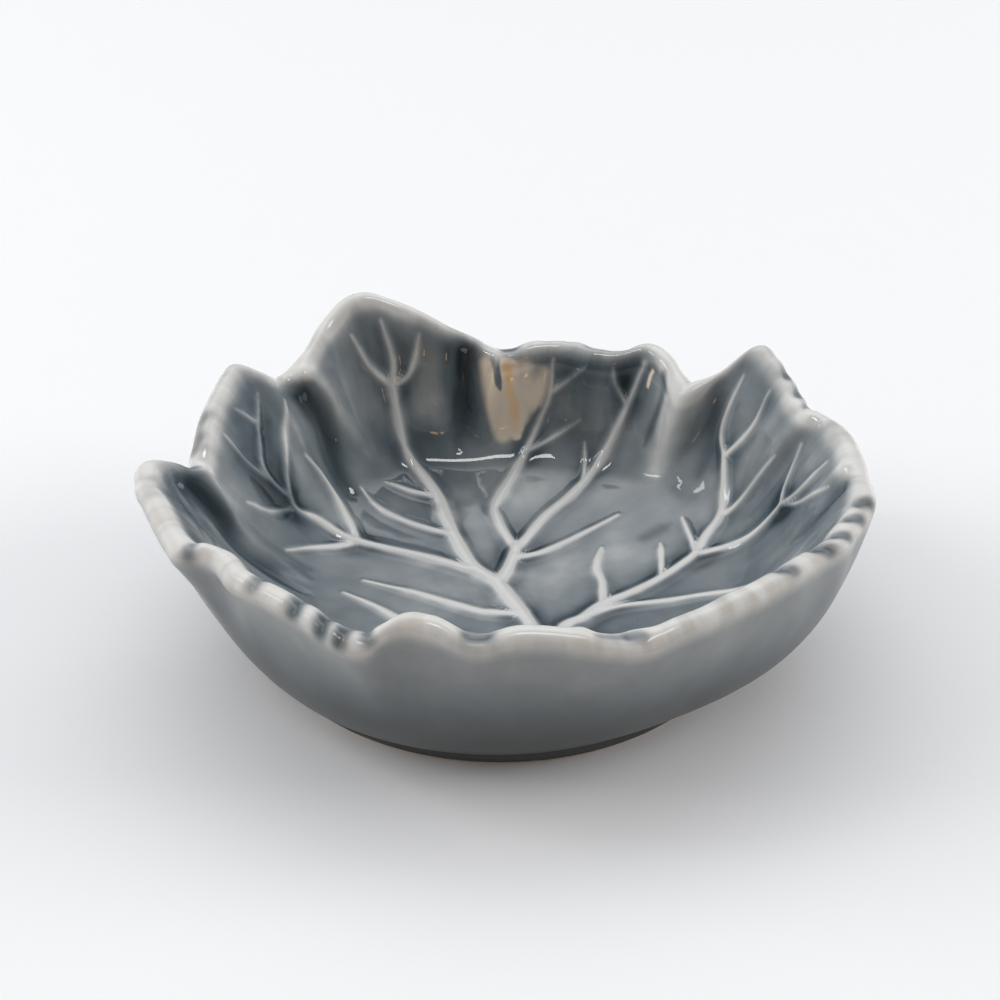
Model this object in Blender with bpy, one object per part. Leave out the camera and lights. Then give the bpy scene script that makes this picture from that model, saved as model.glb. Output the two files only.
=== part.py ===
"""Cabbage leaf dish in glazed earthenware, in metres, +Z up, standing on its foot ring."""
import math

import bmesh
import bpy
import numpy as np

# Leaf outline: the rim crest is given round the foot's axis
RIM_REACH = 0.0782
RIM_HEIGHT = 0.0495
RIM_WIDTH = 0.0058

# Floor of the leaf
FLOOR_REACH = 0.055
FLOOR_HEIGHT = 0.0070
FLOOR_RISE = 0.0065
FLOOR_CURVE = 2.6
BEND_REACH = 0.007

# Belly and foot ring
BELLY_REACH = 0.0125
BELLY_RISE = 0.0055
FOOT_RADIUS = 0.053
FOOT_HEIGHT = 0.0042
FOOT_WIDTH = 0.0055
FOOT_FILLET = 0.0012
FOOT_BARE = 0.0012
FOOT_CHAMFER = 0.0006
RECESS_DEPTH = 0.0028
RECESS_FILLET = 0.0015

# Glaze and the clearance that parts it from the clay
GLAZE = 0.00045
SEAM = 0.0003

# Raised veins, folds between the lobes and wells pressed in the rim
VEIN_HEIGHT = 0.0011
VEIN_WIDTH = 0.0019
FOLD_HEIGHT = 0.0030
FOLD_WIDTH = 0.0048
WELL_DEPTH = 0.0011
WELL_REACH = 0.0021

# Azimuth in degrees, crest radius as a share of RIM_REACH, crest height as a share of RIM_HEIGHT
RIM_SHARES = (
    (4, 0.985, 0.848), (10, 0.982, 0.848), (15, 0.976, 0.827), (19, 0.944, 0.828),
    (27.5, 0.953, 0.862), (34, 0.970, 0.903), (38.5, 0.972, 0.905), (42, 0.900, 0.778),
    (45, 0.824, 0.692), (48.5, 0.827, 0.721), (54, 0.865, 0.775), (59.5, 0.884, 0.785),
    (63.5, 0.839, 0.764), (68.5, 0.818, 0.764), (77.5, 0.834, 0.764), (83.5, 0.810, 0.757),
    (88, 0.798, 0.729), (92, 0.793, 0.739), (95, 0.788, 0.788), (101, 0.801, 0.855),
    (106.5, 0.841, 0.922), (112, 0.885, 0.979), (116.5, 0.939, 0.999), (119.5, 0.953, 0.977),
    (124, 0.943, 0.907), (131, 0.885, 0.824), (138.5, 0.890, 0.748), (143, 0.888, 0.828),
    (146.5, 0.932, 0.888), (149.5, 0.926, 0.879), (154.5, 0.908, 0.854), (161.5, 0.890, 0.808),
    (167.5, 0.872, 0.768), (173, 0.878, 0.719), (176, 0.921, 0.790), (178.5, 0.969, 0.830),
    (183.5, 0.975, 0.819), (190, 0.954, 0.848), (197.5, 0.937, 0.848), (204, 0.931, 0.848),
    (207.5, 0.923, 0.839), (210.5, 0.875, 0.848), (219.5, 0.865, 0.848), (228, 0.852, 0.848),
    (236.5, 0.864, 0.848), (243.5, 0.890, 0.839), (248, 0.890, 0.828), (252, 0.833, 0.888),
    (258, 0.829, 0.908), (265.5, 0.846, 0.858), (273.5, 0.838, 0.888), (281.5, 0.856, 0.878),
    (287, 0.881, 0.858), (293, 0.891, 0.828), (300.5, 0.894, 0.859), (305, 0.894, 0.859),
    (311.5, 0.891, 0.859), (316, 0.900, 0.859), (323.5, 0.915, 0.859), (330.5, 0.933, 0.848),
    (336, 0.966, 0.848), (340, 0.972, 0.848), (345.5, 0.990, 0.848), (351, 1.001, 0.848),
    (357, 0.992, 0.828),
)

# Azimuth in degrees, floor edge as a share of FLOOR_REACH, bend as a share of BEND_REACH,
# lean of the wall's two faces at the rim in degrees, belly as a share of BELLY_REACH
WALL_SHARES = (
    (0, 0.90, 1.6, 52, 74, 1.20), (23, 0.94, 1.4, 50, 66, 1.10), (42, 0.92, 1.3, 62, 70, 1.00),
    (60, 0.86, 1.7, 62, 74, 1.00), (87, 0.82, 1.8, 64, 78, 1.00), (100, 0.84, 1.7, 60, 72, 1.00),
    (115, 0.90, 1.5, 56, 64, 1.00), (130, 0.84, 1.5, 52, 60, 1.00), (152, 0.70, 1.9, 48, 58, 1.00),
    (180, 0.68, 2.0, 50, 58, 1.00), (210, 0.74, 1.8, 54, 58, 0.90), (240, 0.82, 1.5, 60, 62, 0.95),
    (270, 0.88, 1.3, 64, 74, 0.78), (298, 0.90, 1.3, 62, 80, 0.62), (314, 0.90, 1.4, 60, 82, 1.00),
    (330, 0.90, 1.5, 58, 84, 1.60),
)

# Places on the leaf's upper face: azimuth in degrees and share of the way from the middle of the
# floor to the rim. Each vein opens with its width and height at the root and at the tip, as shares.
VEIN_SHARES = (
    # Stalk, from the front rim to where the two main ribs part
    (1.25, 1.15, ((284, 0.99), (286, 0.82), (289, 0.62), (290, 0.41))),
    # Main rib to the tallest lobe, and its forks
    (1.20, 0.75, ((290, 0.41), (297, 0.18), (338, 0.02), (104, 0.06), (120, 0.12), (119, 0.20),
                  (114, 0.38), (112, 0.48), (113, 0.57), (115, 0.70), (115, 0.84))),
    (0.70, 0.45, ((115, 0.84), (114, 0.90), (115, 0.97))),
    (0.60, 0.40, ((115, 0.84), (119, 0.89), (121, 0.96))),
    (0.60, 0.40, ((115, 0.84), (111, 0.88), (108, 0.97))),
    # Rib to the back lobe, and its forks
    (1.00, 0.90, ((94, 0.06), (80, 0.11), (78, 0.18), (78, 0.24))),
    (0.85, 0.60, ((78, 0.24), (84, 0.28), (91, 0.38), (92, 0.45), (87, 0.57), (83, 0.69))),
    (0.50, 0.35, ((83, 0.69), (78, 0.73), (70, 0.82))),
    (0.65, 0.45, ((83, 0.69), (80, 0.81), (78, 0.89), (78, 0.98))),
    (0.50, 0.35, ((78, 0.89), (74, 0.93), (70, 0.98))),
    (0.95, 0.60, ((78, 0.24), (74, 0.29), (70, 0.41), (65, 0.53), (62, 0.72), (60, 0.86), (58, 0.98))),
    (0.50, 0.35, ((64, 0.58), (68, 0.74))),
    (0.50, 0.35, ((60, 0.87), (63, 0.94), (64, 0.98))),
    (0.80, 0.50, ((78, 0.19), (62, 0.22), (54, 0.28), (49, 0.37), (46, 0.48))),
    # Side veins to the left
    (0.75, 0.50, ((118, 0.32), (124, 0.37), (130, 0.46), (133, 0.56), (132, 0.65))),
    (0.65, 0.40, ((114, 0.49), (119, 0.53), (124, 0.61))),
    (0.95, 0.80, ((126, 0.14), (137, 0.24), (144, 0.36), (149, 0.48), (152, 0.59))),
    (0.75, 0.45, ((152, 0.59), (159, 0.63), (164, 0.67), (172, 0.74))),
    (0.65, 0.45, ((152, 0.59), (146, 0.62), (142, 0.69), (142, 0.77), (144, 0.83))),
    (0.80, 0.45, ((152, 0.59), (154, 0.70), (158, 0.77), (154, 0.82), (147, 0.87), (142, 0.96))),
    (0.50, 0.35, ((160, 0.78), (167, 0.83), (170, 0.89))),
    (0.60, 0.45, ((157, 0.79), (159, 0.85), (158, 0.89), (152, 0.93))),
    (0.45, 0.35, ((152, 0.93), (155, 0.98))),
    (0.45, 0.35, ((152, 0.93), (147, 0.96))),
    (0.50, 0.35, ((159, 0.85), (162, 0.92), (162, 0.98))),
    (0.85, 0.50, ((300, 0.12), (262, 0.10), (233, 0.12), (194, 0.21), (180, 0.33), (174, 0.50))),
    (0.80, 0.50, ((292, 0.31), (276, 0.26), (258, 0.24), (235, 0.26), (220, 0.32), (205, 0.38), (192, 0.46),
                  (184, 0.56))),
    # Main rib to the right, and its forks
    (1.10, 0.85, ((290, 0.41), (312, 0.25), (330, 0.26), (346, 0.29), (356, 0.36), (4, 0.44), (12, 0.54))),
    (0.85, 0.65, ((12, 0.54), (19, 0.59), (23, 0.67), (28, 0.74), (32, 0.80))),
    (0.60, 0.40, ((32, 0.80), (36, 0.84), (37, 0.89), (37, 0.96))),
    (0.65, 0.45, ((32, 0.80), (29, 0.87), (28, 0.92), (29, 0.98))),
    (0.55, 0.35, ((22, 0.66), (20, 0.77), (18, 0.90))),
    (0.80, 0.60, ((12, 0.54), (11, 0.62), (9, 0.72), (8, 0.83))),
    (0.60, 0.40, ((8, 0.83), (11, 0.86), (15, 0.95))),
    (0.60, 0.45, ((8, 0.83), (6, 0.88), (5, 0.97))),
    (0.45, 0.35, ((7, 0.84), (3, 0.88), (359, 0.96))),
    (0.75, 0.45, ((346, 0.29), (6, 0.28), (23, 0.28), (36, 0.34))),
    (0.60, 0.40, ((4, 0.44), (16, 0.45), (24, 0.47))),
    (0.55, 0.35, ((12, 0.54), (23, 0.55), (30, 0.57))),
    (0.80, 0.45, ((330, 0.26), (345, 0.33), (350, 0.46), (352, 0.60), (350, 0.78))),
    # Side veins on the wall behind the front rim
    (0.75, 0.45, ((290, 0.50), (299, 0.58), (308, 0.70), (314, 0.86))),
    (0.75, 0.45, ((289, 0.58), (277, 0.64), (266, 0.74), (260, 0.88))),
    (0.70, 0.45, ((312, 0.25), (322, 0.42), (328, 0.60), (330, 0.80))),
    (0.70, 0.45, ((290, 0.40), (270, 0.44), (251, 0.58), (238, 0.80))),
)

# Folds open with their height at either end and their width, as shares; a negative one is a crease
FOLD_SHARES = (
    (0.80, 0.15, 0.58, ((134, 0.99), (132, 0.93), (130, 0.84), (127, 0.76), (122, 0.66))),
    (-0.60, -0.20, 0.42, ((136, 0.96), (135, 0.87), (136, 0.78), (136, 0.66))),
    (0.70, 0.12, 0.42, ((174, 0.99), (176, 0.90), (178, 0.82), (178, 0.72), (180, 0.66))),
    (-0.55, -0.15, 0.40, ((178, 0.96), (179, 0.88), (182, 0.82), (184, 0.74), (187, 0.66))),
    (0.75, 0.25, 1.00, ((44, 1.00), (44, 0.90), (43, 0.80), (40, 0.68), (36, 0.58))),
    (-0.95, -0.25, 0.50, ((98, 0.98), (99, 0.90), (100, 0.81), (101, 0.70))),
    (0.80, 0.20, 0.45, ((92, 1.00), (93, 0.95), (94, 0.85), (94, 0.74))),
    (-0.16, -0.16, 0.16, ((91, 0.975), (81, 0.975), (69, 0.975), (57, 0.975), (49, 0.97))),
    (-0.18, -0.08, 0.16, ((181, 0.98), (183, 0.95), (188, 0.93), (195, 0.92))),
    (-0.18, -0.08, 0.16, ((179, 0.97), (181, 0.93), (185, 0.90), (193, 0.89))),
    (0.40, 0.05, 0.60, ((17, 1.00), (18, 0.95), (19, 0.86), (21, 0.76))),
    (0.40, 0.05, 0.50, ((0, 1.00), (1, 0.92), (1, 0.82))),
    (-0.25, -0.05, 0.35, ((356, 0.98), (356, 0.90), (356, 0.82))),
    (0.40, 0.05, 0.80, ((248, 1.00), (248, 0.88), (249, 0.74))),
    (0.40, 0.05, 0.80, ((293, 1.00), (294, 0.88), (296, 0.74))),
    (0.45, 0.05, 0.70, ((208, 1.00), (206, 0.90), (203, 0.76))),
)

# Wells that crimp the rim: depth and reach as shares, then both ends, each as its azimuth in degrees
# and its share of the way over the rim
WELL_SHARES = (
    (0.6, 0.70, (20, 0.45), (22, 0.70)), (0.7, 0.75, (24, 0.45), (26, 0.72)),
    (0.7, 0.75, (29, 0.45), (31, 0.70)), (0.6, 0.70, (63, 0.55), (65.5, 0.55)),
    (0.7, 0.75, (67, 0.55), (70, 0.55)), (0.8, 0.75, (75.5, 0.60), (80, 0.60)),
    (0.8, 0.70, (87, 0.45), (89, 0.45)), (0.4, 1.00, (161, 0.45), (163, 0.60)),
    (0.6, 1.10, (166, 0.50), (168, 0.60)), (0.9, 1.00, (174, 0.25), (176, 0.55)),
    (0.5, 0.80, (208, 0.30), (209, 0.60)), (0.5, 0.80, (223, 0.20), (224, 0.50)),
    (0.9, 0.80, (233, 0.25), (234, 0.60)), (1.0, 0.80, (239.5, 0.20), (240.5, 0.65)),
    (1.0, 0.70, (244, 0.25), (244.5, 0.65)), (0.6, 0.75, (248, 0.20), (248.5, 0.45)),
    (0.8, 0.80, (265, 0.40), (267.5, 0.40)), (0.4, 0.80, (286.5, 0.40), (288.5, 0.40)),
    (0.7, 0.80, (291, 0.35), (293, 0.40)), (0.8, 0.80, (323, 0.30), (324, 0.50)),
    (0.9, 0.80, (332, 0.30), (333, 0.55)), (0.7, 0.70, (337, 0.25), (338, 0.60)),
    (0.7, 0.80, (342.5, 0.30), (343.5, 0.60)), (0.9, 0.90, (347.5, 0.35), (348.5, 0.60)),
)
WELL_STEPS = 5

# Part of a place's share that the floor takes up, and how long the curves hold the rim's lean
FLOOR_PATH_SHARE = 0.6
WALL_TOP_SHARE = 0.45
BELLY_TOP_SHARE = 0.35

# Part of the belly over which the turns of the rim are smoothed out, and how far to either side
CALM_SHARE = 0.6
CALM_TURNS = np.radians(np.linspace(-12, 12, 9))

# Power at which meeting veins are summed, so that they blend without a lump
JOINING = 4

# Fineness of the sculpted leaf before it is thinned
COLUMNS = 480
PATH_STEPS = 7
FLOOR_ROWS = 44
WALL_ROWS = 40
RIM_ROWS = 9
BELLY_ROWS = 22
FOOT_ROWS = 4
KEPT_FACES = 4400
RECESS_SIDES = 48
FILLET_STEPS = 3
MERGE = GLAZE / 50
SMOOTH_ANGLE = math.radians(50)

# Finishes
GLAZE_COLOUR = (0.17, 0.20, 0.23, 1)
GLAZE_ROUGHNESS = 0.12
CLAY_COLOUR = (0.66, 0.60, 0.52, 1)
CLAY_ROUGHNESS = 0.8


def around(shares, column, azimuths):
    """One column of a table of azimuths, read smoothly all the way round the dish."""
    turn = 2 * math.pi
    knots = np.radians([row[0] for row in shares])
    values = np.array([row[column] for row in shares], dtype=float)
    knots = np.concatenate([knots - turn, knots, knots + turn])
    values = np.concatenate([values, values, values])
    slopes = np.gradient(values, knots)
    where = np.mod(azimuths, turn)
    low = np.clip(np.searchsorted(knots, where) - 1, 0, len(knots) - 2)
    step = knots[low + 1] - knots[low]
    t = (where - knots[low]) / step
    return (
        (2 * t**3 - 3 * t**2 + 1) * values[low]
        + (t**3 - 2 * t**2 + t) * step * slopes[low]
        + (3 * t**2 - 2 * t**3) * values[low + 1]
        + (t**3 - t**2) * step * slopes[low + 1]
    )


def pair(radius, height):
    """Radius and height of a point in the section plane."""
    return np.stack(np.broadcast_arrays(radius, height), axis=-1)


def bezier(start, leave, arrive, end, t):
    """Point on a cubic curve in the section plane."""
    t = t[..., None]
    return (1 - t)**3 * start + 3 * (1 - t)**2 * t * leave + 3 * (1 - t) * t**2 * arrive + t**3 * end


def stand(azimuths, points):
    """Section points turned to their azimuths."""
    radius = points[..., 0]
    return np.stack([radius * np.cos(azimuths), radius * np.sin(azimuths), points[..., 1]], axis=-1)


def heading(angles):
    """Unit direction in the section plane, from its angle above level."""
    return pair(np.cos(angles), np.sin(angles))


def rim_edge(azimuths):
    """Middle of the rounded rim and the directions square to the wall's inner and outer faces."""
    middle = pair(
        RIM_REACH * around(RIM_SHARES, 1, azimuths),
        RIM_HEIGHT * around(RIM_SHARES, 2, azimuths) - RIM_WIDTH / 2,
    )
    inward = np.radians(around(WALL_SHARES, 3, azimuths)) + math.pi / 2
    outward = np.radians(around(WALL_SHARES, 4, azimuths)) - math.pi / 2
    return middle, inward, outward


def floor_height(radius):
    """Height of the plain floor at a radius."""
    return FLOOR_HEIGHT + FLOOR_RISE * (radius / FLOOR_REACH)**FLOOR_CURVE


def inside(azimuths, shares):
    """Point on the plain upper face: share 0 is the middle of the floor and 1 the rim's inner edge."""
    edge = FLOOR_REACH * around(WALL_SHARES, 1, azimuths)
    bend = BEND_REACH * around(WALL_SHARES, 2, azimuths)
    radius = edge * np.minimum(shares / FLOOR_PATH_SHARE, 1)
    floor = pair(radius, floor_height(radius))
    slope = FLOOR_CURVE * FLOOR_RISE / FLOOR_REACH * (edge / FLOOR_REACH)**(FLOOR_CURVE - 1)
    middle, inward, outward = rim_edge(azimuths)
    top = middle + heading(inward) * RIM_WIDTH / 2
    start = pair(edge, floor_height(edge))
    reach = np.linalg.norm(top - start, axis=-1)[..., None]
    climb = np.clip((shares - FLOOR_PATH_SHARE) / (1 - FLOOR_PATH_SHARE), 0, 1)
    wall = bezier(
        start,
        start + pair(bend, slope * bend),
        top - heading(inward - math.pi / 2) * reach * WALL_TOP_SHARE,
        top,
        climb,
    )
    return stand(azimuths, np.where(shares[..., None] < FLOOR_PATH_SHARE, floor, wall))


def over_rim(azimuths, shares):
    """Point on the rounded rim: share 0 is its inner edge and 1 its outer edge."""
    middle, inward, outward = rim_edge(azimuths)
    turn = inward + (outward - inward) * shares
    return stand(azimuths, middle + heading(turn) * RIM_WIDTH / 2)


def belly_section(azimuths, shares):
    """Section of the belly, before the turns of the rim are smoothed out of it."""
    middle, inward, outward = rim_edge(azimuths)
    top = middle + heading(outward) * RIM_WIDTH / 2
    foot = pair(FOOT_RADIUS + FOOT_FILLET, FOOT_HEIGHT)
    reach = np.linalg.norm(top - foot, axis=-1)[..., None]
    fullness = around(WALL_SHARES, 5, azimuths)
    belly = foot + pair(BELLY_REACH * fullness, BELLY_RISE)
    down = heading(outward - math.pi / 2)
    return bezier(top, top + down * reach * BELLY_TOP_SHARE, belly, foot, shares)


def outside(azimuths, shares):
    """Point on the belly: share 0 is the rim's outer edge and 1 the top of the foot ring."""
    calm = np.mean([belly_section(azimuths + turn, shares) for turn in CALM_TURNS], axis=0)
    rest = np.minimum(shares / CALM_SHARE, 1)[..., None]
    rest = rest**2 * (3 - 2 * rest)
    return stand(azimuths, belly_section(azimuths, shares) * (1 - rest) + calm * rest)


def foot_side(azimuths, shares):
    """Point on the glazed side of the foot ring: share 0 is its fillet and 1 the end of the glaze."""
    turn = np.minimum(shares * 2, 1) * math.pi / 2
    drop = np.maximum(shares * 2 - 1, 0)
    radius = FOOT_RADIUS + FOOT_FILLET * (1 - np.sin(turn))
    height = FOOT_HEIGHT - FOOT_FILLET * (1 - np.cos(turn))
    height = height - drop * (FOOT_HEIGHT - FOOT_FILLET - FOOT_BARE)
    return stand(azimuths, pair(radius, height))


def plain_leaf():
    """Rows of points from the middle of the floor, over the rim and down to the foot."""
    azimuths = np.linspace(0, 2 * math.pi, COLUMNS, endpoint=False)
    floor = np.linspace(0, FLOOR_PATH_SHARE, FLOOR_ROWS + 1)[1:]
    wall = np.linspace(FLOOR_PATH_SHARE, 1, WALL_ROWS + 1)[1:]
    rim = np.linspace(0, 1, RIM_ROWS + 1)[1:]
    belly = np.linspace(0, 1, BELLY_ROWS + 1)[1:]
    foot = np.linspace(0, 1, FOOT_ROWS + 1)[1:]
    rows = []
    for surface, shares in (
        (inside, np.concatenate([floor, wall])),
        (over_rim, rim),
        (outside, belly),
        (foot_side, foot),
    ):
        across, around_dish = np.meshgrid(shares, azimuths, indexing="ij")
        rows.append(surface(around_dish, across))
    return np.concatenate(rows)


def path_on_leaf(places):
    """Points on the plain upper face along a smooth line through its places."""
    azimuths = np.radians([azimuth for azimuth, share in places])
    shares = np.array([share for azimuth, share in places])
    flat = np.stack([shares * np.cos(azimuths), shares * np.sin(azimuths)], axis=-1)
    knots = np.concatenate([[2 * flat[0] - flat[1]], flat, [2 * flat[-1] - flat[-2]]])
    steps = np.linspace(0, 1, PATH_STEPS, endpoint=False)[:, None]
    spans = []
    for before, start, end, after in zip(knots, knots[1:], knots[2:], knots[3:]):
        bow = 2 * before - 5 * start + 4 * end - after
        flick = 3 * start - before - 3 * end + after
        spans.append(start + (steps * (end - before) + steps**2 * bow + steps**3 * flick) / 2)
    flat = np.concatenate(spans + [flat[-1:]])
    return inside(np.arctan2(flat[:, 1], flat[:, 0]), np.minimum(np.linalg.norm(flat, axis=-1), 1))


def nearest_on_path(points, path):
    """Distance from each point to the path, and how far along the path its nearest place lies."""
    nearest = np.full(len(points), np.inf)
    place = np.zeros(len(points))
    spans = len(path) - 1
    for index in range(spans):
        start = path[index]
        run = path[index + 1] - start
        share = np.clip((points - start) @ run / (run @ run), 0, 1)
        distance = np.linalg.norm(points - start - share[:, None] * run, axis=-1)
        closer = distance < nearest
        nearest[closer] = distance[closer]
        place[closer] = ((index + share) / spans)[closer]
    return nearest, place


def swell(distance, reach):
    """Rounded bump that has died away at about twice its reach."""
    return np.exp(-(distance / reach)**2)


def relief(points):
    """How far each point of the upper face and rim stands above the plain leaf."""
    veins = np.zeros(len(points))
    for root, tip, places in VEIN_SHARES:
        distance, place = nearest_on_path(points, path_on_leaf(places))
        size = root + (tip - root) * place
        veins += (VEIN_HEIGHT * size * swell(distance, VEIN_WIDTH * size))**JOINING
    rise = veins**(1 / JOINING)
    for first, last, width, places in FOLD_SHARES:
        distance, place = nearest_on_path(points, path_on_leaf(places))
        rise += FOLD_HEIGHT * (first + (last - first) * place) * swell(distance, FOLD_WIDTH * width)
    for depth, reach, first, last in WELL_SHARES:
        azimuths, shares = np.linspace(first, last, WELL_STEPS).T
        distance, place = nearest_on_path(points, over_rim(np.radians(azimuths), shares))
        rise -= WELL_DEPTH * depth * swell(distance, WELL_REACH * reach)
    return rise


def sculpted_leaf():
    """Rows of points with the veins, folds and wells raised square to the plain leaf."""
    rows = plain_leaf()
    down_rows = np.gradient(rows, axis=0)
    along_rows = (np.roll(rows, -1, axis=1) - np.roll(rows, 1, axis=1)) / 2
    square = np.cross(down_rows, along_rows)
    square /= np.linalg.norm(square, axis=-1)[..., None]
    raised = FLOOR_ROWS + WALL_ROWS + RIM_ROWS
    rise = relief(rows[:raised].reshape(-1, 3)).reshape(raised, COLUMNS)
    fade = np.ones(raised)
    fade[-RIM_ROWS:] = 1 - np.linspace(0, 1, RIM_ROWS)**2
    rows[:raised] += square[:raised] * (rise * fade[:, None])[..., None]
    return rows


def leaf_mesh(name):
    """The sculpted leaf as one open skin, with its middle closed by a fan."""
    rows = sculpted_leaf()
    middle = np.array([0, 0, rows[0, :, 2].mean()])
    points = np.concatenate([middle[None], rows.reshape(-1, 3)])
    faces = [(0, 1 + column, 1 + (column + 1) % COLUMNS) for column in range(COLUMNS)]
    for row in range(len(rows) - 1):
        near = 1 + row * COLUMNS
        far = near + COLUMNS
        for column in range(COLUMNS):
            following = (column + 1) % COLUMNS
            faces.append((near + column, far + column, far + following, near + following))
    mesh = bpy.data.meshes.new(name)
    mesh.from_pydata([tuple(point) for point in points], [], faces)
    mesh.update()
    return mesh


def thinned(mesh):
    """The same skin with fewer faces where it is plain, as a triangle mesh centred on its outline."""
    sculpture = new_object("sculpture", mesh)
    thin = sculpture.modifiers.new("thin", "DECIMATE")
    thin.ratio = KEPT_FACES / sum(len(face.vertices) - 2 for face in mesh.polygons)
    bpy.context.view_layer.update()
    evaluated = sculpture.evaluated_get(bpy.context.evaluated_depsgraph_get())
    skin = bmesh.new()
    skin.from_mesh(evaluated.to_mesh())
    bpy.data.objects.remove(sculpture, do_unlink=True)
    bmesh.ops.triangulate(skin, faces=skin.faces[:])
    for axis in (0, 1):
        spread = [vertex.co[axis] for vertex in skin.verts]
        shift = (min(spread) + max(spread)) / 2
        for vertex in skin.verts:
            vertex.co[axis] -= shift
    return skin


def new_object(name, mesh):
    """Object that holds the mesh, linked to the scene."""
    piece = bpy.data.objects.new(name, mesh)
    bpy.context.scene.collection.objects.link(piece)
    return piece


def finish(piece, colour, roughness, coat):
    """Smooth shading and the piece's own material."""
    piece.data.shade_smooth()
    piece.data.set_sharp_from_angle(angle=SMOOTH_ANGLE)
    material = bpy.data.materials.new(piece.name)
    material.use_nodes = True
    surface = material.node_tree.nodes["Principled BSDF"].inputs
    surface["Base Color"].default_value = colour
    surface["Roughness"].default_value = roughness
    surface["Metallic"].default_value = 0
    surface["Coat Weight"].default_value = coat
    piece.data.materials.append(material)


def glaze_coat(skin):
    """Glass skin over the whole leaf down to the foot, open where the foot ring is wiped bare."""
    mesh = bpy.data.meshes.new("glaze_coat")
    skin.to_mesh(mesh)
    coat = new_object("glaze_coat", mesh)
    layer = coat.modifiers.new("layer", "SOLIDIFY")
    layer.thickness = GLAZE
    layer.offset = -1
    finish(coat, GLAZE_COLOUR, GLAZE_ROUGHNESS, 1)


def bare_end(skin):
    """Corners of the skin's open edge in order round the foot, and the foot's axis."""
    corners = {vertex for edge in skin.edges if edge.is_boundary for vertex in edge.verts}
    places = np.array([vertex.co[:2] for vertex in corners])
    axis = (places.min(axis=0) + places.max(axis=0)) / 2
    turns = {
        vertex: math.atan2(vertex.co.y - axis[1], vertex.co.x - axis[0]) for vertex in corners
    }
    return sorted(corners, key=turns.get), turns, axis


def clay_body(skin):
    """Fired shell under the glaze, closed below by its foot ring and the recess inside it."""
    clay = skin.copy()
    clay.normal_update()
    corners, turns, axis = bare_end(clay)
    for vertex in clay.verts:
        vertex.co -= vertex.normal * (GLAZE + SEAM)
    outer = FOOT_RADIUS - GLAZE - SEAM
    inner = FOOT_RADIUS - FOOT_WIDTH
    stations = [
        (outer, FOOT_CHAMFER),
        (outer - FOOT_CHAMFER, 0),
        (inner + FOOT_CHAMFER, 0),
        (inner, FOOT_CHAMFER),
    ] + [
        (inner - RECESS_FILLET * (1 - math.cos(turn)), RECESS_DEPTH - RECESS_FILLET * (1 - math.sin(turn)))
        for turn in np.linspace(0, math.pi / 2, FILLET_STEPS + 1)
    ]
    for vertex in corners:
        vertex.co = (
            axis[0] + outer * math.cos(turns[vertex]),
            axis[1] + outer * math.sin(turns[vertex]),
            FOOT_BARE,
        )
    ring = corners
    angles = [turns[vertex] for vertex in corners]
    for radius, height in stations:
        below = [
            clay.verts.new((axis[0] + radius * math.cos(angle), axis[1] + radius * math.sin(angle), height))
            for angle in angles
        ]
        for index, vertex in enumerate(ring):
            following = (index + 1) % len(ring)
            clay.faces.new((vertex, below[index], below[following], ring[following]))
        ring = below
    middle = clay.verts.new((axis[0], axis[1], RECESS_DEPTH))
    for index, vertex in enumerate(ring):
        clay.faces.new((vertex, middle, ring[(index + 1) % len(ring)]))
    mesh = bpy.data.meshes.new("clay_body")
    clay.to_mesh(mesh)
    finish(new_object("clay_body", mesh), CLAY_COLOUR, CLAY_ROUGHNESS, 0)
    return axis


def base_glaze(axis):
    """Glaze left in the recess, turned as one thin pan that hangs from its ceiling."""
    inner = FOOT_RADIUS - FOOT_WIDTH
    pan = bmesh.new()
    outline = []
    for depth in (SEAM, SEAM + GLAZE):
        turns = np.linspace(0, math.pi / 2, FILLET_STEPS + 1)
        reach = RECESS_FILLET - depth
        wall = [
            (
                inner - RECESS_FILLET + reach * math.cos(turn),
                RECESS_DEPTH - RECESS_FILLET + reach * math.sin(turn),
            )
            for turn in turns
        ]
        side = [(0, RECESS_DEPTH - depth)] + wall[::-1]
        outline.append(side)
    profile = outline[0] + outline[1][::-1]
    corners = [pan.verts.new((radius, 0, height)) for radius, height in profile]
    edges = [pan.edges.new(ends) for ends in zip(corners, corners[1:])]
    bmesh.ops.spin(
        pan, geom=corners + edges, cent=(0, 0, 0), axis=(0, 0, 1),
        angle=2 * math.pi, steps=RECESS_SIDES, use_merge=True,
    )
    bmesh.ops.remove_doubles(pan, verts=pan.verts[:], dist=MERGE)
    bmesh.ops.recalc_face_normals(pan, faces=pan.faces[:])
    mesh = bpy.data.meshes.new("base_glaze")
    pan.to_mesh(mesh)
    piece = new_object("base_glaze", mesh)
    piece.location = (axis[0], axis[1], 0)
    finish(piece, GLAZE_COLOUR, GLAZE_ROUGHNESS, 1)


for old in list(bpy.data.objects):
    bpy.data.objects.remove(old, do_unlink=True)

skin = thinned(leaf_mesh("leaf"))
glaze_coat(skin)
foot_axis = clay_body(skin)
base_glaze(foot_axis)
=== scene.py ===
import math

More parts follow.
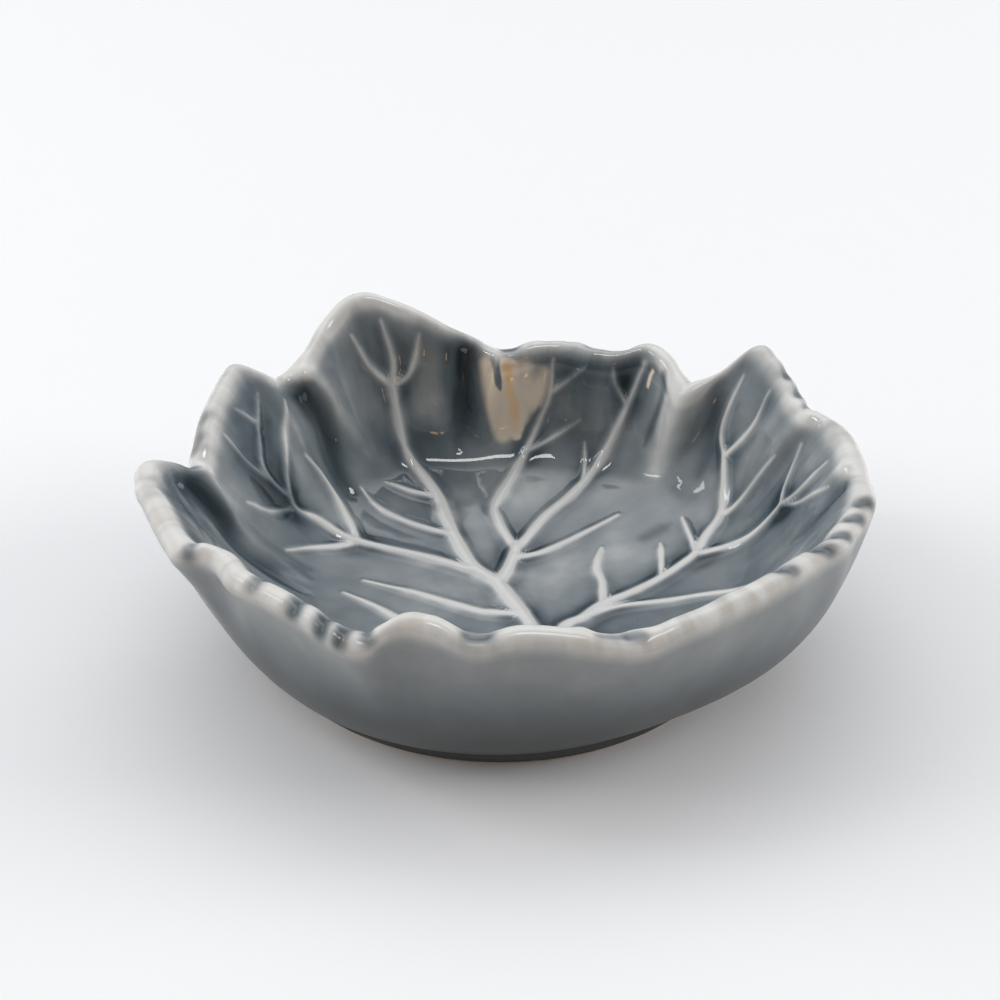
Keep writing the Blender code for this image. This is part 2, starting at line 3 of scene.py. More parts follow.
import bpy
import numpy as np
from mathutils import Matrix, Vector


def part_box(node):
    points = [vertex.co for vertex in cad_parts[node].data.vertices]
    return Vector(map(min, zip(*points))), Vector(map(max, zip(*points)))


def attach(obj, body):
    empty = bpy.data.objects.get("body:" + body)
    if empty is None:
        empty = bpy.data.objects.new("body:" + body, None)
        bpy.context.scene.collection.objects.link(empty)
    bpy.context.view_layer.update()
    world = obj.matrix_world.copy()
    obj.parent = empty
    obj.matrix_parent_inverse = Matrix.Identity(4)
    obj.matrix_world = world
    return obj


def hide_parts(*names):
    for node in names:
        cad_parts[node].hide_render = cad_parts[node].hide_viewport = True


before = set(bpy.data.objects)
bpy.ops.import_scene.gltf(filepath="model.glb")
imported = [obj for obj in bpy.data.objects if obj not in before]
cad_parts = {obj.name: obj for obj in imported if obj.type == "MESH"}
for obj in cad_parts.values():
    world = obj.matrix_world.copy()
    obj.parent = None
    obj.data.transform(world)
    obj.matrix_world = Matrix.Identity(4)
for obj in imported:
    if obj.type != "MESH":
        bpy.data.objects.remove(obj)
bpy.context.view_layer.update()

# The view
# A hand-held camera looks down on the dish from the stalk's side, level and centred on the foot. The
# foot's arc and the rim's outline in the photograph settle its height, its tilt and its lens.
foot_low, foot_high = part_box("base_glaze")
foot_middle = (foot_low + foot_high) / 2
VIEW_HEIGHT = 0.032
VIEW_DISTANCE = 0.5
VIEW_DOWN = math.radians(32)
FRAME_PIXELS = 1000
FOCAL_PIXELS = 2280
SENSOR = 36


def new_object(name, data):
    """An object in the scene that holds the data."""
    made = bpy.data.objects.new(name, data)
    bpy.context.scene.collection.objects.link(made)
    return made


camera_data = bpy.data.cameras.new("view")
camera_data.sensor_width = SENSOR
camera_data.lens = SENSOR * FOCAL_PIXELS / FRAME_PIXELS
camera = new_object("view", camera_data)
camera.location = (
    foot_middle.x,
    foot_middle.y - VIEW_DISTANCE * math.cos(VIEW_DOWN),
    VIEW_HEIGHT + VIEW_DISTANCE * math.sin(VIEW_DOWN),
)
camera.rotation_euler = (math.pi / 2 - VIEW_DOWN, 0, 0)
bpy.context.scene.camera = camera

# Clay body
# The fired clay shell shows only on the foot, where the glaze was wiped off before firing: a flat
# ring of buff earthenware, matt, with a fine grain and a few darker specks.
CLAY_BUFF = (0.53, 0.44, 0.34, 1)
CLAY_SHADE = (0.40, 0.31, 0.23, 1)
CLAY_SPECK = (0.16, 0.11, 0.08, 1)
CLAY_CLOUD_SCALE = 90
CLAY_GRAIN_SCALE = 2600
CLAY_GRAIN_RANGE = (0.2, 0.8)
CLAY_GRAIN_DEPTH = 0.00004
CLAY_ROUGHNESS = (0.72, 0.92)
CLAY_SPECK_SCALE = 700
CLAY_SPECK_REACH = (0.08, 0.20)
CLAY_SPECK_SHARE = 0.8
CLOUD_RANGE = (0.3, 0.7)


def socket(sockets, key):
    """A node's socket by its number, or by its name among those in use."""
    if isinstance(key, int):
        return sockets[key]
    return next(entry for entry in sockets if entry.enabled and entry.name == key)


def place(tree, kind, inputs, **settings):
    """A new node of the tree. Its inputs are values, or sockets that are linked to it."""
    made = tree.nodes.new(kind)
    for name, value in settings.items():
        setattr(made, name, value)
    for key, value in inputs.items():
        if isinstance(value, bpy.types.NodeSocket):
            tree.links.new(value, socket(made.inputs, key))
        else:
            socket(made.inputs, key).default_value = value
    return made


def drawn(tree, kind, output, inputs, **settings):
    """One output of a new node."""
    return socket(place(tree, kind, inputs, **settings).outputs, output)


def worked(tree, operation, *values):
    """The result of a Math node."""
    return drawn(tree, "ShaderNodeMath", 0, dict(enumerate(values)), operation=operation)


def times(tree, total, *values):
    """The product of values."""
    for value in values:
        total = worked(tree, "MULTIPLY", total, value)
    return total


def added(tree, total, *values):
    """The sum of values."""
    for value in values:
        total = worked(tree, "ADD", total, value)
    return total


def blended(tree, share, first, second):
    """A colour between two others."""
    inputs = {"Factor": share, "A": first, "B": second}
    return drawn(tree, "ShaderNodeMix", "Result", inputs, data_type="RGBA")


def eased(tree, value, low, high, to_low=0.0, to_high=1.0):
    """A value eased from one range to another and held at its ends."""
    inputs = {"Value": value, "From Min": low, "From Max": high, "To Min": to_low, "To Max": to_high}
    return drawn(tree, "ShaderNodeMapRange", "Result", inputs, interpolation_type="SMOOTHSTEP")


def noise(tree, where, scale, detail=3.0):
    """Soft clouds of the given scale."""
    return drawn(tree, "ShaderNodeTexNoise", "Fac", {"Vector": where, "Scale": scale, "Detail": detail})


def new_surface(name):
    """A material, its node tree and its shader's inputs."""
    material = bpy.data.materials.new(name)
    material.use_nodes = True
    return material, material.node_tree, material.node_tree.nodes["Principled BSDF"].inputs


def dressed(node, material):
    """Gives a solid of the frame its finished material."""
    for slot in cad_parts[node].material_slots:
        slot.material = material


bare_clay, tree, surface = new_surface("bare_clay")
where = drawn(tree, "ShaderNodeTexCoord", "Object", {})
grain = noise(tree, where, CLAY_GRAIN_SCALE)
specks = drawn(
    tree, "ShaderNodeTexVoronoi", "Distance", {"Vector": where, "Scale": CLAY_SPECK_SCALE}
)
shade = eased(tree, noise(tree, where, CLAY_CLOUD_SCALE), *CLOUD_RANGE)
colour = blended(tree, shade, CLAY_BUFF, CLAY_SHADE)
colour = blended(tree, eased(tree, specks, *CLAY_SPECK_REACH, CLAY_SPECK_SHARE, 0.0), colour, CLAY_SPECK)
tree.links.new(colour, surface["Base Color"])
tree.links.new(eased(tree, grain, *CLAY_GRAIN_RANGE, *CLAY_ROUGHNESS), surface["Roughness"])
bump = drawn(tree, "ShaderNodeBump", "Normal", {"Height": grain, "Distance": CLAY_GRAIN_DEPTH})
tree.links.new(bump, surface["Normal"])
dressed("clay_body", bare_clay)

# Glaze skin
# One coat of blue-grey glass covers the leaf from the middle of its floor, over the rim and down to
# the wiped foot. It is poured on and fired, so it runs thin and pale over whatever stands out and
# gathers dark beside it. Here it is a closed skin, pressed with the veins and folds of the mould.
# Its colour also holds painted light: a painted warm reflection at the back, painted sheen on a
# ridge and on the back of the floor, and painted shade low on the belly and on the foot's side.
RIM_REACH = 0.0782
RIM_HEIGHT = 0.0495
RIM_WIDTH = 0.0058
FLOOR_REACH = 0.055
FLOOR_HEIGHT = 0.0070
FLOOR_RISE = 0.0065
FLOOR_CURVE = 2.6
BEND_REACH = 0.007
BELLY_REACH = 0.0125
BELLY_RISE = 0.0055
FOOT_RADIUS = 0.053
FOOT_HEIGHT = 0.0042
FOOT_FILLET = 0.0012
FOOT_BARE = 0.0012
FLOOR_PATH_SHARE = 0.6
WALL_TOP_SHARE = 0.45
BELLY_TOP_SHARE = 0.35
CALM_SHARE = 0.6
CALM_TURNS = np.radians(np.linspace(-12, 12, 9))
GLAZE = 0.00045

# Azimuth in degrees, crest radius as a share of RIM_REACH, crest height as a share of RIM_HEIGHT
RIM_SHARES = (
    (4, 0.985, 0.848), (10, 0.982, 0.848), (15, 0.976, 0.827), (19, 0.944, 0.828),
    (27.5, 0.953, 0.862), (34, 0.970, 0.903), (38.5, 0.972, 0.905), (42, 0.900, 0.778),
    (45, 0.824, 0.692), (48.5, 0.827, 0.721), (54, 0.865, 0.775), (59.5, 0.884, 0.785),
    (63.5, 0.839, 0.764), (68.5, 0.818, 0.764), (77.5, 0.834, 0.764), (83.5, 0.810, 0.757),
    (88, 0.798, 0.729), (92, 0.793, 0.739), (95, 0.788, 0.788), (101, 0.801, 0.855),
    (106.5, 0.841, 0.922), (112, 0.885, 0.979), (116.5, 0.939, 0.999), (119.5, 0.953, 0.977),
    (124, 0.943, 0.907), (131, 0.885, 0.824), (138.5, 0.890, 0.748), (143, 0.888, 0.828),
    (146.5, 0.932, 0.888), (149.5, 0.926, 0.879), (154.5, 0.908, 0.854), (161.5, 0.890, 0.808),
    (167.5, 0.872, 0.768), (173, 0.878, 0.719), (176, 0.921, 0.790), (178.5, 0.969, 0.830),
    (183.5, 0.975, 0.819), (190, 0.954, 0.848), (197.5, 0.937, 0.848), (204, 0.931, 0.848),
    (207.5, 0.923, 0.839), (210.5, 0.875, 0.848), (219.5, 0.865, 0.848), (228, 0.852, 0.848),
    (236.5, 0.864, 0.848), (243.5, 0.890, 0.839), (248, 0.890, 0.828), (252, 0.833, 0.888),
    (258, 0.829, 0.908), (265.5, 0.846, 0.858), (273.5, 0.838, 0.888), (281.5, 0.856, 0.878),
    (287, 0.881, 0.858), (293, 0.891, 0.828), (300.5, 0.894, 0.859), (305, 0.894, 0.859),
    (311.5, 0.891, 0.859), (316, 0.900, 0.859), (323.5, 0.915, 0.859), (330.5, 0.933, 0.848),
    (336, 0.966, 0.848), (340, 0.972, 0.848), (345.5, 0.990, 0.848), (351, 1.001, 0.848),
    (357, 0.992, 0.828),
)

# Azimuth in degrees, floor edge as a share of FLOOR_REACH, bend as a share of BEND_REACH,
# lean of the wall's two faces at the rim in degrees, belly as a share of BELLY_REACH
WALL_SHARES = (
    (0, 0.90, 1.6, 52, 74, 1.20), (23, 0.94, 1.4, 50, 66, 1.10), (42, 0.92, 1.3, 62, 70, 1.00),
    (60, 0.86, 1.7, 62, 74, 1.00), (87, 0.82, 1.8, 64, 78, 1.00), (100, 0.84, 1.7, 60, 72, 1.00),
    (115, 0.90, 1.5, 56, 64, 1.00), (130, 0.84, 1.5, 52, 60, 1.00), (152, 0.70, 1.9, 48, 58, 1.00),
    (180, 0.68, 2.0, 50, 58, 1.00), (210, 0.74, 1.8, 54, 58, 0.90), (240, 0.82, 1.5, 60, 62, 0.95),
    (270, 0.88, 1.3, 64, 74, 0.78), (298, 0.90, 1.3, 62, 80, 0.62), (314, 0.90, 1.4, 60, 82, 1.00),
    (330, 0.90, 1.5, 58, 84, 1.60),
)


def around(shares, column, azimuths):
    """One column of a table of azimuths, read smoothly all the way round the dish."""
    turn = 2 * math.pi
    knots = np.radians([row[0] for row in shares])
    values = np.array([row[column] for row in shares], dtype=float)
    knots = np.concatenate([knots - turn, knots, knots + turn])
    values = np.concatenate([values, values, values])
    slopes = np.gradient(values, knots)
    where = np.mod(azimuths, turn)
    low = np.clip(np.searchsorted(knots, where) - 1, 0, len(knots) - 2)
    step = knots[low + 1] - knots[low]
    t = (where - knots[low]) / step
    return (
        (2 * t**3 - 3 * t**2 + 1) * values[low]
        + (t**3 - 2 * t**2 + t) * step * slopes[low]
        + (3 * t**2 - 2 * t**3) * values[low + 1]
        + (t**3 - t**2) * step * slopes[low + 1]
    )


def pair(radius, height):
    """Radius and height of a point in the section plane."""
    return np.stack(np.broadcast_arrays(radius, height), axis=-1)


def bezier(start, leave, arrive, end, t):
    """Point on a cubic curve in the section plane."""
    t = t[..., None]
    return (1 - t)**3 * start + 3 * (1 - t)**2 * t * leave + 3 * (1 - t) * t**2 * arrive + t**3 * end


def heading(angles):
    """Unit direction in the section plane, from its angle above level."""
    return pair(np.cos(angles), np.sin(angles))


def stand(azimuths, points):
    """Section points turned to their azimuths about the foot's axis."""
    across = foot_middle.x + points[..., 0] * np.cos(azimuths)
    depth = foot_middle.y + points[..., 0] * np.sin(azimuths)
    return np.stack([across, depth, points[..., 1]], axis=-1)


def rim_edge(azimuths):
    """Middle of the rounded rim and the directions square to the wall's inner and outer faces."""
    middle = pair(
        RIM_REACH * around(RIM_SHARES, 1, azimuths),
        RIM_HEIGHT * around(RIM_SHARES, 2, azimuths) - RIM_WIDTH / 2,
    )
    inward = np.radians(around(WALL_SHARES, 3, azimuths)) + math.pi / 2
    outward = np.radians(around(WALL_SHARES, 4, azimuths)) - math.pi / 2
    return middle, inward, outward


def floor_height(radius):
    """Height of the plain floor at a radius."""
    return FLOOR_HEIGHT + FLOOR_RISE * (radius / FLOOR_REACH)**FLOOR_CURVE


def inside(azimuths, shares):
    """Point on the plain upper face: share 0 is the middle of the floor and 1 the rim's inner edge."""
    edge = FLOOR_REACH * around(WALL_SHARES, 1, azimuths)
    bend = BEND_REACH * around(WALL_SHARES, 2, azimuths)
    radius = edge * np.minimum(shares / FLOOR_PATH_SHARE, 1)
    floor = pair(radius, floor_height(radius))
    slope = FLOOR_CURVE * FLOOR_RISE / FLOOR_REACH * (edge / FLOOR_REACH)**(FLOOR_CURVE - 1)
    middle, inward, outward = rim_edge(azimuths)
    top = middle + heading(inward) * RIM_WIDTH / 2
    start = pair(edge, floor_height(edge))
    reach = np.linalg.norm(top - start, axis=-1)[..., None]
    climb = np.clip((shares - FLOOR_PATH_SHARE) / (1 - FLOOR_PATH_SHARE), 0, 1)
    wall = bezier(
        start,
        start + pair(bend, slope * bend),
        top - heading(inward - math.pi / 2) * reach * WALL_TOP_SHARE,
        top,
        climb,
    )
    return stand(azimuths, np.where(shares[..., None] < FLOOR_PATH_SHARE, floor, wall))


def over_rim(azimuths, shares):
    """Point on the rounded rim: share 0 is its inner edge and 1 its outer edge."""
    middle, inward, outward = rim_edge(azimuths)
    turn = inward + (outward - inward) * shares
    return stand(azimuths, middle + heading(turn) * RIM_WIDTH / 2)


def belly_section(azimuths, shares):
    """Section of the belly, before the turns of the rim are smoothed out of it."""
    middle, inward, outward = rim_edge(azimuths)
    top = middle + heading(outward) * RIM_WIDTH / 2
    foot = pair(FOOT_RADIUS + FOOT_FILLET, FOOT_HEIGHT)
    reach = np.linalg.norm(top - foot, axis=-1)[..., None]
    fullness = around(WALL_SHARES, 5, azimuths)
    belly = foot + pair(BELLY_REACH * fullness, BELLY_RISE)
    down = heading(outward - math.pi / 2)
    return bezier(top, top + down * reach * BELLY_TOP_SHARE, belly, foot, shares)


def outside(azimuths, shares):
    """Point on the belly: share 0 is the rim's outer edge and 1 the top of the foot ring."""
    calm = np.mean([belly_section(azimuths + turn, shares) for turn in CALM_TURNS], axis=0)
    rest = np.minimum(shares / CALM_SHARE, 1)[..., None]
    rest = rest**2 * (3 - 2 * rest)
    return stand(azimuths, belly_section(azimuths, shares) * (1 - rest) + calm * rest)


def foot_side(azimuths, shares):
    """Point on the glazed side of the foot ring: share 0 is its fillet and 1 the end of the glaze."""
    turn = np.minimum(shares * 2, 1) * math.pi / 2
    drop = np.maximum(shares * 2 - 1, 0)
    radius = FOOT_RADIUS + FOOT_FILLET * (1 - np.sin(turn))
    height = FOOT_HEIGHT - FOOT_FILLET * (1 - np.cos(turn))
    height = height - drop * (FOOT_HEIGHT - FOOT_FILLET - FOOT_BARE)
    return stand(azimuths, pair(radius, height))


def ones(azimuths):
    """One for each column of a row."""
    return np.ones(len(azimuths))


def square_to(surface, azimuths, share):
    """Directions square to the plain leaf, out of the clay."""
    step = 1e-3
    down = surface(azimuths, min(share + step, 1) * ones(azimuths))
    down = down - surface(azimuths, max(share - step, 0) * ones(azimuths))
    along = surface(azimuths + step, share * ones(azimuths))
    along = along - surface(azimuths - step, share * ones(azimuths))
    square = np.cross(down, along)
    return square / np.linalg.norm(square, axis=-1)[:, None]


# Bands of the section: surface, first and last share, rows above and below, columns round the dish
BANDS = (
    (inside, 0, 0.28, 30, 10, 192),
    (inside, 0.28, 0.6, 36, 12, 384),
    (inside, 0.6, 1, 48, 14, 768),
    (over_rim, 0, 1, 12, 6, 768),
    (outside, 0, 1, 20, 7, 384),
    (foot_side, 0, 1, 5, 2, 384),
)
UNDER_COLUMNS = 384
RIM_GLOW = 0.0044


def leaf_row(surface, share, columns, under):
    """One row of corners round the dish, with what the leaf_press and the glaze need to know there."""
    azimuths = np.linspace(0, 2 * math.pi, columns, endpoint=False)
    points = surface(azimuths, share * ones(azimuths))
    lift = {inside: 1, over_rim: 1 - share**2}.get(surface, 0)
    middle, inward, outward = rim_edge(azimuths)
    crest = stand(azimuths, middle + pair(0, RIM_WIDTH / 2))
    if under:
        points = points - square_to(surface, azimuths, share) * GLAZE
    return {
        "points": points,
        "lift": ones(azimuths) * (-lift if under else lift),
        "vein_lift": ones(azimuths) * (0 if under else lift),
        "rim": np.exp(-(np.linalg.norm(points - crest, axis=1) / RIM_GLOW)**4),
        "outer": ones(azimuths) * {outside: 1, foot_side: 1, over_rim: share}.get(surface, 0),
        "azimuth": azimuths,
    }


def leaf_rows():
    """Rows from the middle of the floor, over the rim and to the foot, then back under the glaze."""
    rows = []
    for surface, first, last, above, below, columns in BANDS:
        for share in np.linspace(first, last, above + 1)[1:]:
            rows.append(leaf_row(surface, share, columns, False))
    run = 0
    for row, before in zip(rows, [rows[0]] + rows):
        step = np.linalg.norm(row["points"].mean(axis=0) - before["points"].mean(axis=0))
        reach = np.linalg.norm(row["points"][:, :2], axis=1).mean()
        reach -= np.linalg.norm(before["points"][:, :2], axis=1).mean()
        run += math.hypot(step, reach)
        turn = row["azimuth"]
        row["flow"] = np.stack([np.cos(turn), np.sin(turn), ones(turn) * run / RIM_REACH], axis=-1)
    for surface, first, last, above, below, columns in reversed(BANDS):
        for share in np.linspace(last, first, below + 1)[:-1]:
            row = leaf_row(surface, share, min(columns, UNDER_COLUMNS), True)
            row["flow"] = np.zeros((len(row["azimuth"]), 3))
            rows.append(row)
    return rows


def row_faces(near, far, near_count, far_count):
    """Faces between rows of corners that open at near and far. One row may have twice as many."""
    faces = []
    count = min(near_count, far_count)
    for step in range(count):
        following = (step + 1) % count
        left, middle, right = 2 * step, 2 * step + 1, 2 * following
        if near_count == far_count:
            faces.append((near + step, far + step, far + following, near + following))
        elif far_count > near_count:
            faces.append((near + step, far + left, far + middle))
            faces.append((near + step, far + middle, near + following))
            faces.append((near + following, far + middle, far + right))
        else:
            faces.append((far + step, near + middle, near + left))
            faces.append((far + step, far + following, near + middle))
            faces.append((far + following, near + right, near + middle))
    return faces


def plain_leaf():
    """The leaf before the mould's veins and folds are pressed in, closed at both middles by a fan."""
    rows = leaf_rows()
    counts = [len(row["points"]) for row in rows]
    starts = np.cumsum([1] + counts)
    faces = [(0, 1 + step, 1 + (step + 1) % counts[0]) for step in range(counts[0])]
    for near, far, near_count, far_count in zip(starts, starts[1:], counts, counts[1:]):
        faces += row_faces(int(near), int(far), near_count, far_count)
    under_middle, last = int(starts[-1]), int(starts[-2])
    faces += [
        (last + step, under_middle, last + (step + 1) % counts[-1]) for step in range(counts[-1])
    ]
    middles = [
        [foot_middle.x, foot_middle.y, height] for height in (FLOOR_HEIGHT, FLOOR_HEIGHT - GLAZE)
    ]
    points = np.concatenate([middles[:1]] + [row["points"] for row in rows] + [middles[1:]])
    mesh = bpy.data.meshes.new("plain_leaf")
    mesh.from_pydata(points.tolist(), [], faces)
    for name, first, last in (("lift", 1, -1), ("vein_lift", 1, 0), ("rim", 0, 0), ("outer", 0, 0)):
        values = np.concatenate([[first]] + [row[name] for row in rows] + [[last]])
        mesh.attributes.new(name, "FLOAT", "POINT").data.foreach_set("value", values.astype(np.float32))
    flow = np.concatenate([[[0, 0, 0]]] + [row["flow"] for row in rows] + [[[0, 0, 0]]])
    vectors = mesh.attributes.new("flow", "FLOAT_VECTOR", "POINT").data
    vectors.foreach_set("vector", flow.astype(np.float32).ravel())
    return mesh


# Veins, folds and crimps that the mould presses into the clay
VEIN_HEIGHT = 0.0011
VEIN_WIDTH = 0.0019
FOLD_HEIGHT = 0.0030
FOLD_WIDTH = 0.0048
WELL_DEPTH = 0.0011
WELL_REACH = 0.0021
POOL_AND_REFLECTION_WIDTH = 0.0048
TIP_SHARE = 0.2
TIP_SIZE = 0.5
VEIN_JOINING = 4.0
CROWD_REACH = 0.0040
PATH_STEPS = 9

# Places on the leaf's upper face: azimuth in degrees and share of the way from the middle of the
# floor to the rim. Each vein opens with its width and height at the root and at the tip, as shares.
VEIN_SHARES = (
    # Stalk, from the front rim to where the two main ribs part
    (1.25, 1.15, ((284, 0.99), (286, 0.82), (289, 0.62), (290, 0.41))),
    # Main rib to the tallest lobe, and its forks
    (1.20, 0.75, ((290, 0.41), (297, 0.18), (338, 0.02), (104, 0.06), (120, 0.12), (119, 0.20),
                  (114, 0.38), (112, 0.48), (113, 0.57), (115, 0.70), (115, 0.84))),
    (0.70, 0.45, ((115, 0.84), (114, 0.90), (115, 0.97))),
    (0.60, 0.40, ((115, 0.84), (119, 0.89), (121, 0.96))),
    (0.60, 0.40, ((115, 0.84), (111, 0.88), (108, 0.97))),
    # Rib to the back lobe, and its forks
    (1.00, 0.90, ((94, 0.06), (80, 0.11), (78, 0.18), (78, 0.24))),
    (0.85, 0.60, ((78, 0.24), (84, 0.28), (91, 0.38), (92, 0.45), (87, 0.57), (83, 0.69))),
    (0.50, 0.35, ((83, 0.69), (78, 0.73), (70, 0.82))),
    (0.65, 0.45, ((83, 0.69), (80, 0.81), (78, 0.89), (78, 0.98))),
    (0.50, 0.35, ((78, 0.89), (74, 0.93), (70, 0.98))),
    (0.95, 0.60, ((78, 0.24), (74, 0.29), (70, 0.41), (65, 0.53), (62, 0.72), (60, 0.86), (58, 0.98))),
    (0.50, 0.35, ((64, 0.58), (68, 0.74))),
    (0.50, 0.35, ((60, 0.87), (63, 0.94), (64, 0.98))),
    (0.80, 0.50, ((78, 0.19), (62, 0.22), (54, 0.28), (49, 0.37), (46, 0.48))),
    # Side veins to the left
    (0.75, 0.50, ((118, 0.32), (124, 0.37), (130, 0.46), (133, 0.56), (132, 0.65))),
    (0.65, 0.40, ((114, 0.49), (119, 0.53), (124, 0.61))),
    (0.95, 0.80, ((126, 0.14), (137, 0.24), (144, 0.36), (149, 0.48), (152, 0.59))),
    (0.75, 0.45, ((152, 0.59), (159, 0.63), (164, 0.67), (172, 0.74))),
    (0.65, 0.45, ((152, 0.59), (146, 0.62), (142, 0.69), (142, 0.77), (144, 0.83))),
    (0.80, 0.45, ((152, 0.59), (154, 0.70), (158, 0.77), (154, 0.82), (147, 0.87), (142, 0.96))),
    (0.50, 0.35, ((160, 0.78), (167, 0.83), (170, 0.89))),
    (0.60, 0.45, ((157, 0.79), (159, 0.85), (158, 0.89), (152, 0.93))),
    (0.45, 0.35, ((152, 0.93), (155, 0.98))),
    (0.45, 0.35, ((152, 0.93), (147, 0.96))),
    (0.50, 0.35, ((159, 0.85), (162, 0.92), (162, 0.98))),
    (0.85, 0.50, ((300, 0.12), (262, 0.10), (233, 0.12), (194, 0.21), (180, 0.33), (174, 0.50))),
    (0.80, 0.50, ((292, 0.31), (276, 0.26), (258, 0.24), (235, 0.26), (220, 0.32), (205, 0.38),
                  (192, 0.46), (184, 0.56))),
    # Main rib to the right, and its forks
    (1.10, 0.85, ((290, 0.41), (312, 0.25), (330, 0.26), (346, 0.29), (356, 0.36), (4, 0.44),
                  (12, 0.54))),
    (0.85, 0.65, ((12, 0.54), (19, 0.59), (23, 0.67), (28, 0.74), (32, 0.80))),
    (0.60, 0.40, ((32, 0.80), (36, 0.84), (37, 0.89), (37, 0.96))),
    (0.65, 0.45, ((32, 0.80), (29, 0.87), (28, 0.92), (29, 0.98))),
    (0.55, 0.35, ((22, 0.66), (20, 0.77), (18, 0.90))),
    (0.80, 0.60, ((12, 0.54), (11, 0.62), (9, 0.72), (8, 0.83))),
    (0.60, 0.40, ((8, 0.83), (11, 0.86), (15, 0.95))),
    (0.60, 0.45, ((8, 0.83), (6, 0.88), (5, 0.97))),
    (0.45, 0.35, ((7, 0.84), (3, 0.88), (359, 0.96))),
    (0.75, 0.45, ((346, 0.29), (6, 0.28), (23, 0.28), (36, 0.34))),
    (0.60, 0.40, ((4, 0.44), (16, 0.45), (24, 0.47))),
    (0.55, 0.35, ((12, 0.54), (23, 0.55), (30, 0.57))),
    (0.80, 0.45, ((330, 0.26), (345, 0.33), (350, 0.46), (352, 0.60), (350, 0.78))),
    # Side veins on the wall behind the front rim
    (0.75, 0.45, ((290, 0.50), (299, 0.58), (308, 0.70), (314, 0.86))),
    (0.75, 0.45, ((289, 0.58), (277, 0.64), (266, 0.74), (260, 0.88))),
    (0.70, 0.45, ((312, 0.25), (322, 0.42), (328, 0.60), (330, 0.80))),
    (0.70, 0.45, ((290, 0.40), (270, 0.44), (251, 0.58), (238, 0.80))),
)

# Folds open with their height at either end and their width, as shares; a negative one is a crease
FOLD_SHARES = (
    (0.80, 0.15, 0.58, ((134, 0.99), (132, 0.93), (130, 0.84), (127, 0.76), (122, 0.66))),
    (-0.60, -0.20, 0.42, ((136, 0.96), (135, 0.87), (136, 0.78), (136, 0.66))),
    (0.70, 0.12, 0.42, ((174, 0.99), (176, 0.90), (178, 0.82), (178, 0.72), (180, 0.66))),
    (-0.55, -0.15, 0.40, ((178, 0.96), (179, 0.88), (182, 0.82), (184, 0.74), (187, 0.66))),
    (0.75, 0.25, 1.00, ((44, 1.00), (44, 0.90), (43, 0.80), (40, 0.68), (36, 0.58))),
    (-0.95, -0.25, 0.50, ((98, 0.98), (99, 0.90), (100, 0.81), (101, 0.70))),
    (0.80, 0.20, 0.45, ((92, 1.00), (93, 0.95), (94, 0.85), (94, 0.74))),
    (-0.16, -0.16, 0.16, ((91, 0.975), (81, 0.975), (69, 0.975), (57, 0.975), (49, 0.97))),
    (-0.18, -0.08, 0.16, ((181, 0.98), (183, 0.95), (188, 0.93), (195, 0.92))),
    (-0.18, -0.08, 0.16, ((179, 0.97), (181, 0.93), (185, 0.90), (193, 0.89))),
    (0.40, 0.05, 0.60, ((17, 1.00), (18, 0.95), (19, 0.86), (21, 0.76))),
    (0.40, 0.05, 0.50, ((0, 1.00), (1, 0.92), (1, 0.82))),
    (-0.25, -0.05, 0.35, ((356, 0.98), (356, 0.90), (356, 0.82))),
    (0.40, 0.05, 0.80, ((248, 1.00), (248, 0.88), (249, 0.74))),
    (0.40, 0.05, 0.80, ((293, 1.00), (294, 0.88), (296, 0.74))),
    (0.45, 0.05, 0.70, ((208, 1.00), (206, 0.90), (203, 0.76))),
)

# Wells that crimp the rim: depth and reach as shares, then both ends, each as its azimuth in degrees
# and its share of the way over the rim
WELL_SHARES = (
    (0.6, 0.70, (20, 0.45), (22, 0.70)), (0.7, 0.75, (24, 0.45), (26, 0.72)),
    (0.7, 0.75, (29, 0.45), (31, 0.70)), (0.6, 0.70, (63, 0.55), (65.5, 0.55)),
    (0.7, 0.75, (67, 0.55), (70, 0.55)), (0.8, 0.75, (75.5, 0.60), (80, 0.60)),
    (0.8, 0.70, (87, 0.45), (89, 0.45)), (0.4, 1.00, (161, 0.45), (163, 0.60)),
    (0.6, 1.10, (166, 0.50), (168, 0.60)), (0.9, 1.00, (174, 0.25), (176, 0.55)),
    (0.5, 0.80, (208, 0.30), (209, 0.60)), (0.5, 0.80, (223, 0.20), (224, 0.50)),
    (0.9, 0.80, (233, 0.25), (234, 0.60)), (1.0, 0.80, (239.5, 0.20), (240.5, 0.65)),
    (1.0, 0.70, (244, 0.25), (244.5, 0.65)), (0.6, 0.75, (248, 0.20), (248.5, 0.45)),
    (0.8, 0.80, (265, 0.40), (267.5, 0.40)), (0.4, 0.80, (286.5, 0.40), (288.5, 0.40)),
    (0.7, 0.80, (291, 0.35), (293, 0.40)), (0.8, 0.80, (323, 0.30), (324, 0.50)),
    (0.9, 0.80, (332, 0.30), (333, 0.55)), (0.7, 0.70, (337, 0.25), (338, 0.60)),
    (0.7, 0.80, (342.5, 0.30), (343.5, 0.60)), (0.9, 0.90, (347.5, 0.35), (348.5, 0.60)),
)
